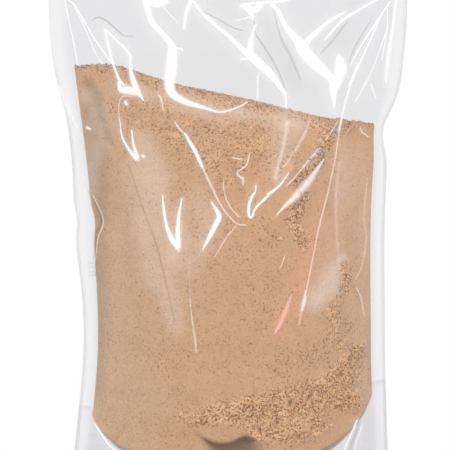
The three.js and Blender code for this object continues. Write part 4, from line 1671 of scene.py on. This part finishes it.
@dataclass(frozen=True)
class PowderFinish:
    """Dry tan powder: smooth where it is pressed, speckled where it is loose, with painted light on its
    bumps' crests and painted shade in its pits and gaps.

    Args:
        name: the material's name.
        colour: its mean colour.
        warmth: the red, green and blue of its warmer stretches, as shares of that.
        dark: the colour of its darker blotches, and of the painted shade in its pits and gaps.
        light: the colour of its lighter mottle and of the painted light on its crests.
        crumbly: its mean colour where it is loose.
        crumbly_share: how far loose powder takes that colour.
        painted_light_right: the lighter, warmer colour painted on its right side as light falling there.
        painted_light_right_share: how far the right side takes that painted light.
        painted_light_right_run: where that begins and is full, across, in metres.
        tucked: the colour of the painted shadow where it is tucked under.
        tuck_shadow_share: how far the painted shadow takes that colour.
        fine: the finest grain, also the fine bumps: its crests are lighter, partly as mottle and partly as
            painted light, and its pits get painted shade.
        coarse: the grain of the coarse bumps, whose crests get painted light in loose powder.
        broad: where it is warmer.
        patchy: where it has more pits.
        blotches: where it is a little darker.
        gaps: the painted shade in the gaps between crumbs.
        pits: the fine noise under which pressed powder gets painted shade as pits.
        loose_pits: how much more that is in loose powder.
        pit_softness: how much noise lies between the rim of a pit and its middle.
        pit_share: how dark the painted shade in pits is.
        coarse_bumps: how high coarse bumps are against fine ones.
        bumps: how strong the bumps are on pressed powder.
        loose_bumps: how much stronger they are on loose powder.
        bump_height: the bumps' height, in metres.
        matt: how rough the surface is to light.
    """

    name: str
    colour: Colour = (0.705, 0.466, 0.279, 1)
    warmth: tuple[float, float, float] = (0.985, 0.93, 0.87)
    dark: Colour = (0.29, 0.135, 0.06, 1)
    light: Colour = (0.88, 0.625, 0.42, 1)
    crumbly: Colour = (0.755, 0.465, 0.28, 1)
    crumbly_share: float = 0.8
    painted_light_right: Colour = (0.89, 0.53, 0.285, 1)
    painted_light_right_share: float = 0.55
    painted_light_right_run: tuple[float, float] = (-0.03, 0.065)
    tucked: Colour = (0.2, 0.115, 0.065, 1)
    tuck_shadow_share: float = 0.74
    fine: Grain = Grain(1000.0, 3.0, 0.36, 0.64, 0.45)
    coarse: Grain = Grain(480.0, 2.0, 0.52, 0.66, 0.25)
    broad: Grain = Grain(30.0, 2.0, 0.35, 0.65)
    patchy: Grain = Grain(85.0, 2.0, 0.4, 0.62, 0.03)
    blotches: Grain = Grain(190.0, 2.0, 0.45, 0.7, 0.18)
    gaps: Grain = Grain(420.0, 8.0, 0.42, 0.34, 0.75)
    pits: float = 0.36
    loose_pits: float = 0.115
    pit_softness: float = 0.05
    pit_share: float = 0.85
    coarse_bumps: float = 1.5
    bumps: float = 0.15
    loose_bumps: float = 0.7
    bump_height: float = 0.0008
    matt: float = 0.6

    def build(self) -> bpy.types.Material:
        """The material.

        Returns:
            Matt powder, whose grain follows the marks loose and under.
        """
        material = bpy.data.materials.new(self.name)
        material.use_nodes = True
        nodes = Nodes(material.node_tree)
        place = nodes.add("ShaderNodeTexCoord").outputs["Object"]
        loose = nodes.mark("loose")
        fine = self.fine.noise(nodes, place)
        coarse = self.coarse.noise(nodes, place)
        base = self.ground(nodes, place, loose)
        # lighter on the fine grain's crests, partly the powder's own mottle and partly painted light on its
        # bumps
        mottle = self.fine.shown(nodes, fine)
        base = nodes.mixed(nodes.math("MULTIPLY", mottle, self.fine.amount), base, self.light)
        # painted light on the crests of the coarse bumps in loose powder
        crests = self.coarse.shown(nodes, coarse)
        crests = nodes.math("MULTIPLY", crests, nodes.math("MULTIPLY", loose, self.coarse.amount))
        base = nodes.mixed(crests, base, self.light)
        # painted shade in the pits of the fine bumps
        base = nodes.mixed(self.pitted(nodes, place, loose, fine), base, self.dark)
        # painted shade in the gaps between crumbs
        gaps = self.gaps.shown(nodes, self.gaps.noise(nodes, place))
        gaps = nodes.math("MULTIPLY", gaps, nodes.math("MULTIPLY", loose, self.gaps.amount))
        base = nodes.mixed(gaps, base, self.dark)
        # painted shadow under the lip where the powder is tucked under
        tucked = nodes.math("MULTIPLY", nodes.mark("under"), self.tuck_shadow_share)
        base = nodes.mixed(tucked, base, self.tucked)
        height = nodes.math("ADD", fine, nodes.math("MULTIPLY", coarse, self.coarse_bumps))
        strength = nodes.math("ADD", nodes.math("MULTIPLY", loose, self.loose_bumps), self.bumps)
        relief = {"Strength": strength, "Distance": self.bump_height, "Height": height}
        bump = nodes.add("ShaderNodeBump", relief).outputs[0]
        matt = nodes.add("ShaderNodeBsdfDiffuse", {"Color": base, "Roughness": self.matt, "Normal": bump})
        nodes.add("ShaderNodeOutputMaterial", {"Surface": matt.outputs[0]})
        return material

    def ground(
        self, nodes: Nodes, place: bpy.types.NodeSocket, loose: bpy.types.NodeSocket
    ) -> bpy.types.NodeSocket:
        """The powder's colour under its grain.

        Args:
            nodes: the hand that wires it.
            place: the coordinates of a point.
            loose: how loose the powder is there.

        Returns:
            The colour.
        """
        warm = tuple(c * k for c, k in zip(self.colour[:3], self.warmth)) + (1,)
        broad = self.broad.shown(nodes, self.broad.noise(nodes, place))
        base = nodes.mixed(broad, self.colour, warm)
        # painted light: the powder is made lighter and warmer towards the right
        across = nodes.add("ShaderNodeSeparateXYZ", {"Vector": place}).outputs["X"]
        right = nodes.math("MULTIPLY", nodes.ramp(across, *self.painted_light_right_run), self.painted_light_right_share)
        base = nodes.mixed(right, base, self.painted_light_right)
        base = nodes.mixed(nodes.math("MULTIPLY", loose, self.crumbly_share), base, self.crumbly)
        blotches = self.blotches.shown(nodes, self.blotches.noise(nodes, place))
        return nodes.mixed(nodes.math("MULTIPLY", blotches, self.blotches.amount), base, self.dark)

    def pitted(
        self,
        nodes: Nodes,
        place: bpy.types.NodeSocket,
        loose: bpy.types.NodeSocket,
        fine: bpy.types.NodeSocket,
    ) -> bpy.types.NodeSocket:
        """How much painted shade the powder's pits get.

        Args:
            nodes: the hand that wires it.
            place: the coordinates of a point.
            loose: how loose the powder is there.
            fine: the fine noise there.

        Returns:
            The share of the dark colour.
        """
        often = self.patchy.shown(nodes, self.patchy.noise(nodes, place))
        often = nodes.math("ADD", nodes.math("MULTIPLY", often, self.patchy.amount), self.pits)
        limit = nodes.math("ADD", nodes.math("MULTIPLY", loose, self.loose_pits), often)
        pits = nodes.ramp(nodes.math("SUBTRACT", limit, fine), 0.0, self.pit_softness)
        return nodes.math("MULTIPLY", pits, self.pit_share)


@dataclass(frozen=True)
class Lamp:
    """A soft square lamp.

    Args:
        name: its name.
        place: where it stands, in metres.
        size: its side, in metres.
        power: its power, in watts.
    """

    name: str
    place: tuple[float, float, float]
    size: float
    power: float

    def build(self, target: Vector) -> bpy.types.Object:
        """The lamp, turned to a point.

        Args:
            target: the point it faces.

        Returns:
            The lamp object.
        """
        data = bpy.data.lights.new(self.name, "AREA")
        data.size, data.energy = self.size, self.power
        lamp = bpy.data.objects.new(self.name, data)
        lamp.location = self.place
        lamp.rotation_mode = "QUATERNION"
        lamp.rotation_quaternion = (target - Vector(self.place)).to_track_quat("-Z", "Y")
        lamp.visible_glossy = False
        bpy.context.scene.collection.objects.link(lamp)
        return lamp


@dataclass(frozen=True)
class Studio:
    """The camera, the lamps, the white surroundings and the floor.

    Args:
        seen_width: how much of the side seals' plane the picture spans, in millimetres.
        sensor: the width of the camera's sensor, in millimetres.
        ambient: how bright the surroundings light the object.
        mirrored: how bright they are in the film's mirror image.
        target: the point the lamps face, in metres.
        lamps: the lamps.
        floor_half: how far the floor runs to the front and the sides, in millimetres.
        floor_back: how far it runs to the back, in millimetres.
        floor_colour: its colour.
        layers: how many sheets of film light can pass through.
    """

    seen_width: float = 246.6
    sensor: float = 36.0
    ambient: float = 0.62
    mirrored: float = 0.7
    target: tuple[float, float, float] = (0.0, 0.0, 0.12)
    lamps: tuple[Lamp, ...] = (
        Lamp("key", (-0.75, -1.25, 1.25), 0.8, 15.0),
        Lamp("fill", (1.0, -1.3, 0.65), 0.9, 6.0),
    )
    floor_half: float = 600.0
    floor_back: float = 88.0
    floor_colour: Colour = (0.88, 0.88, 0.88, 1)
    layers: int = 32

    def build(self) -> None:
        """Sets up the studio."""
        for lamp in self.lamps:
            lamp.build(Vector(self.target))
        self.camera()
        self.world()
        self.floor()
        scene = bpy.context.scene
        scene.view_settings.view_transform = "Standard"
        scene.cycles.transparent_max_bounces = self.layers

    def camera(self) -> None:
        """The camera, level and square to the bag."""
        data = bpy.data.cameras.new("camera")
        data.sensor_width = self.sensor
        data.lens = self.sensor * CAMERA_REACH / self.seen_width
        camera = bpy.data.objects.new("camera", data)
        camera.location = (CAMERA_X * MM, -CAMERA_REACH * MM, CAMERA_Z * MM)
        camera.rotation_euler = (math.pi / 2, 0, 0)
        bpy.context.scene.collection.objects.link(camera)
        bpy.context.scene.camera = camera

    def world(self) -> None:
        """White where the camera and the film see it, dimmer as a light."""
        world = bpy.data.worlds.new("surroundings")
        bpy.context.scene.world = world
        world.use_nodes = True
        nodes = Nodes(world.node_tree)
        path = nodes.add("ShaderNodeLightPath")
        mirrored = nodes.math("MULTIPLY", path.outputs["Is Glossy Ray"], self.mirrored)
        seen = nodes.math("MAXIMUM", path.outputs["Is Camera Ray"], path.outputs["Is Transmission Ray"])
        seen = nodes.math("MAXIMUM", seen, mirrored)
        strength = nodes.math("ADD", nodes.math("MULTIPLY", seen, 1.0 - self.ambient), self.ambient)
        glow = nodes.add("ShaderNodeBackground", {"Color": WHITE, "Strength": strength})
        nodes.add("ShaderNodeOutputWorld", {"Surface": glow.outputs[0]})

    def floor(self) -> None:
        """A plain pale floor that ends below the picture's edge."""
        material = bpy.data.materials.new("floor")
        material.use_nodes = True
        nodes = Nodes(material.node_tree)
        plain = nodes.add("ShaderNodeBsdfDiffuse", {"Color": self.floor_colour})
        nodes.add("ShaderNodeOutputMaterial", {"Surface": plain.outputs[0]})
        half, back = self.floor_half, self.floor_back
        corners = np.array([(-half, -half, 0), (half, -half, 0), (half, back, 0), (-half, back, 0)], float)
        floor = Surface(corners, np.array([[0, 1, 2, 3]])).built("floor")
        floor.data.materials.append(material)


def hand_over(piece: bpy.types.Object, node: str, finish: bpy.types.Material | None) -> None:
    """Args:
        piece: the finished mesh object.
        node: the CAD node it replaces.
        finish: its material, or none if it has one.
    """
    if finish is not None:
        piece.data.materials.clear()
        piece.data.materials.append(finish)
    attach(piece, "root")
    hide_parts(node)
    LOG.info("%s: %d faces", piece.name, len(piece.data.polygons))


def main() -> None:
    """Builds the bag and its studio."""
    logging.basicConfig(level=logging.INFO, format="%(name)s %(message)s")
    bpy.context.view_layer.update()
    pouch = Pouch()
    front_creases = tuple(crease for group in FRONT_CREASES.values() for crease in group)
    front = Panel(pouch, Facing.FRONT, front_creases, PAINTED_SHEEN_AND_SHADE).surface().thickened(pouch.film)
    hand_over(front.built("front_film"), "front_panel", FilmFinish("front_film").build())
    back_creases = tuple(crease for group in BACK_CREASES.values() for crease in group)
    # the front's brightest creases, with their painted highlights, copied narrower onto the back panel
    shared = tuple(crease.echo() for crease in front_creases if crease.strength >= 0.9)
    back = Panel(pouch, Facing.BACK, back_creases + shared).surface().thickened(pouch.film)
    hand_over(back.built("back_film"), "back_panel", FilmFinish("back_film").build())
    gusset = Gusset(pouch).surface().thickened(pouch.film)
    clear = FilmFinish("gusset_film", tint=0.995, seal_tint=0.998, gloss=0.012).build()
    hand_over(gusset.built("gusset_film"), "bottom_gusset", clear)
    powder = Powder(pouch).surface().built("powder")
    finish = PowderFinish("powder").build()
    crumbs = Crumbs().build(powder, finish)
    hand_over(powder, "zeolite_powder", finish)
    hand_over(crumbs, "zeolite_powder", None)
    Studio().build()


if __name__ == "__main__":
    main()
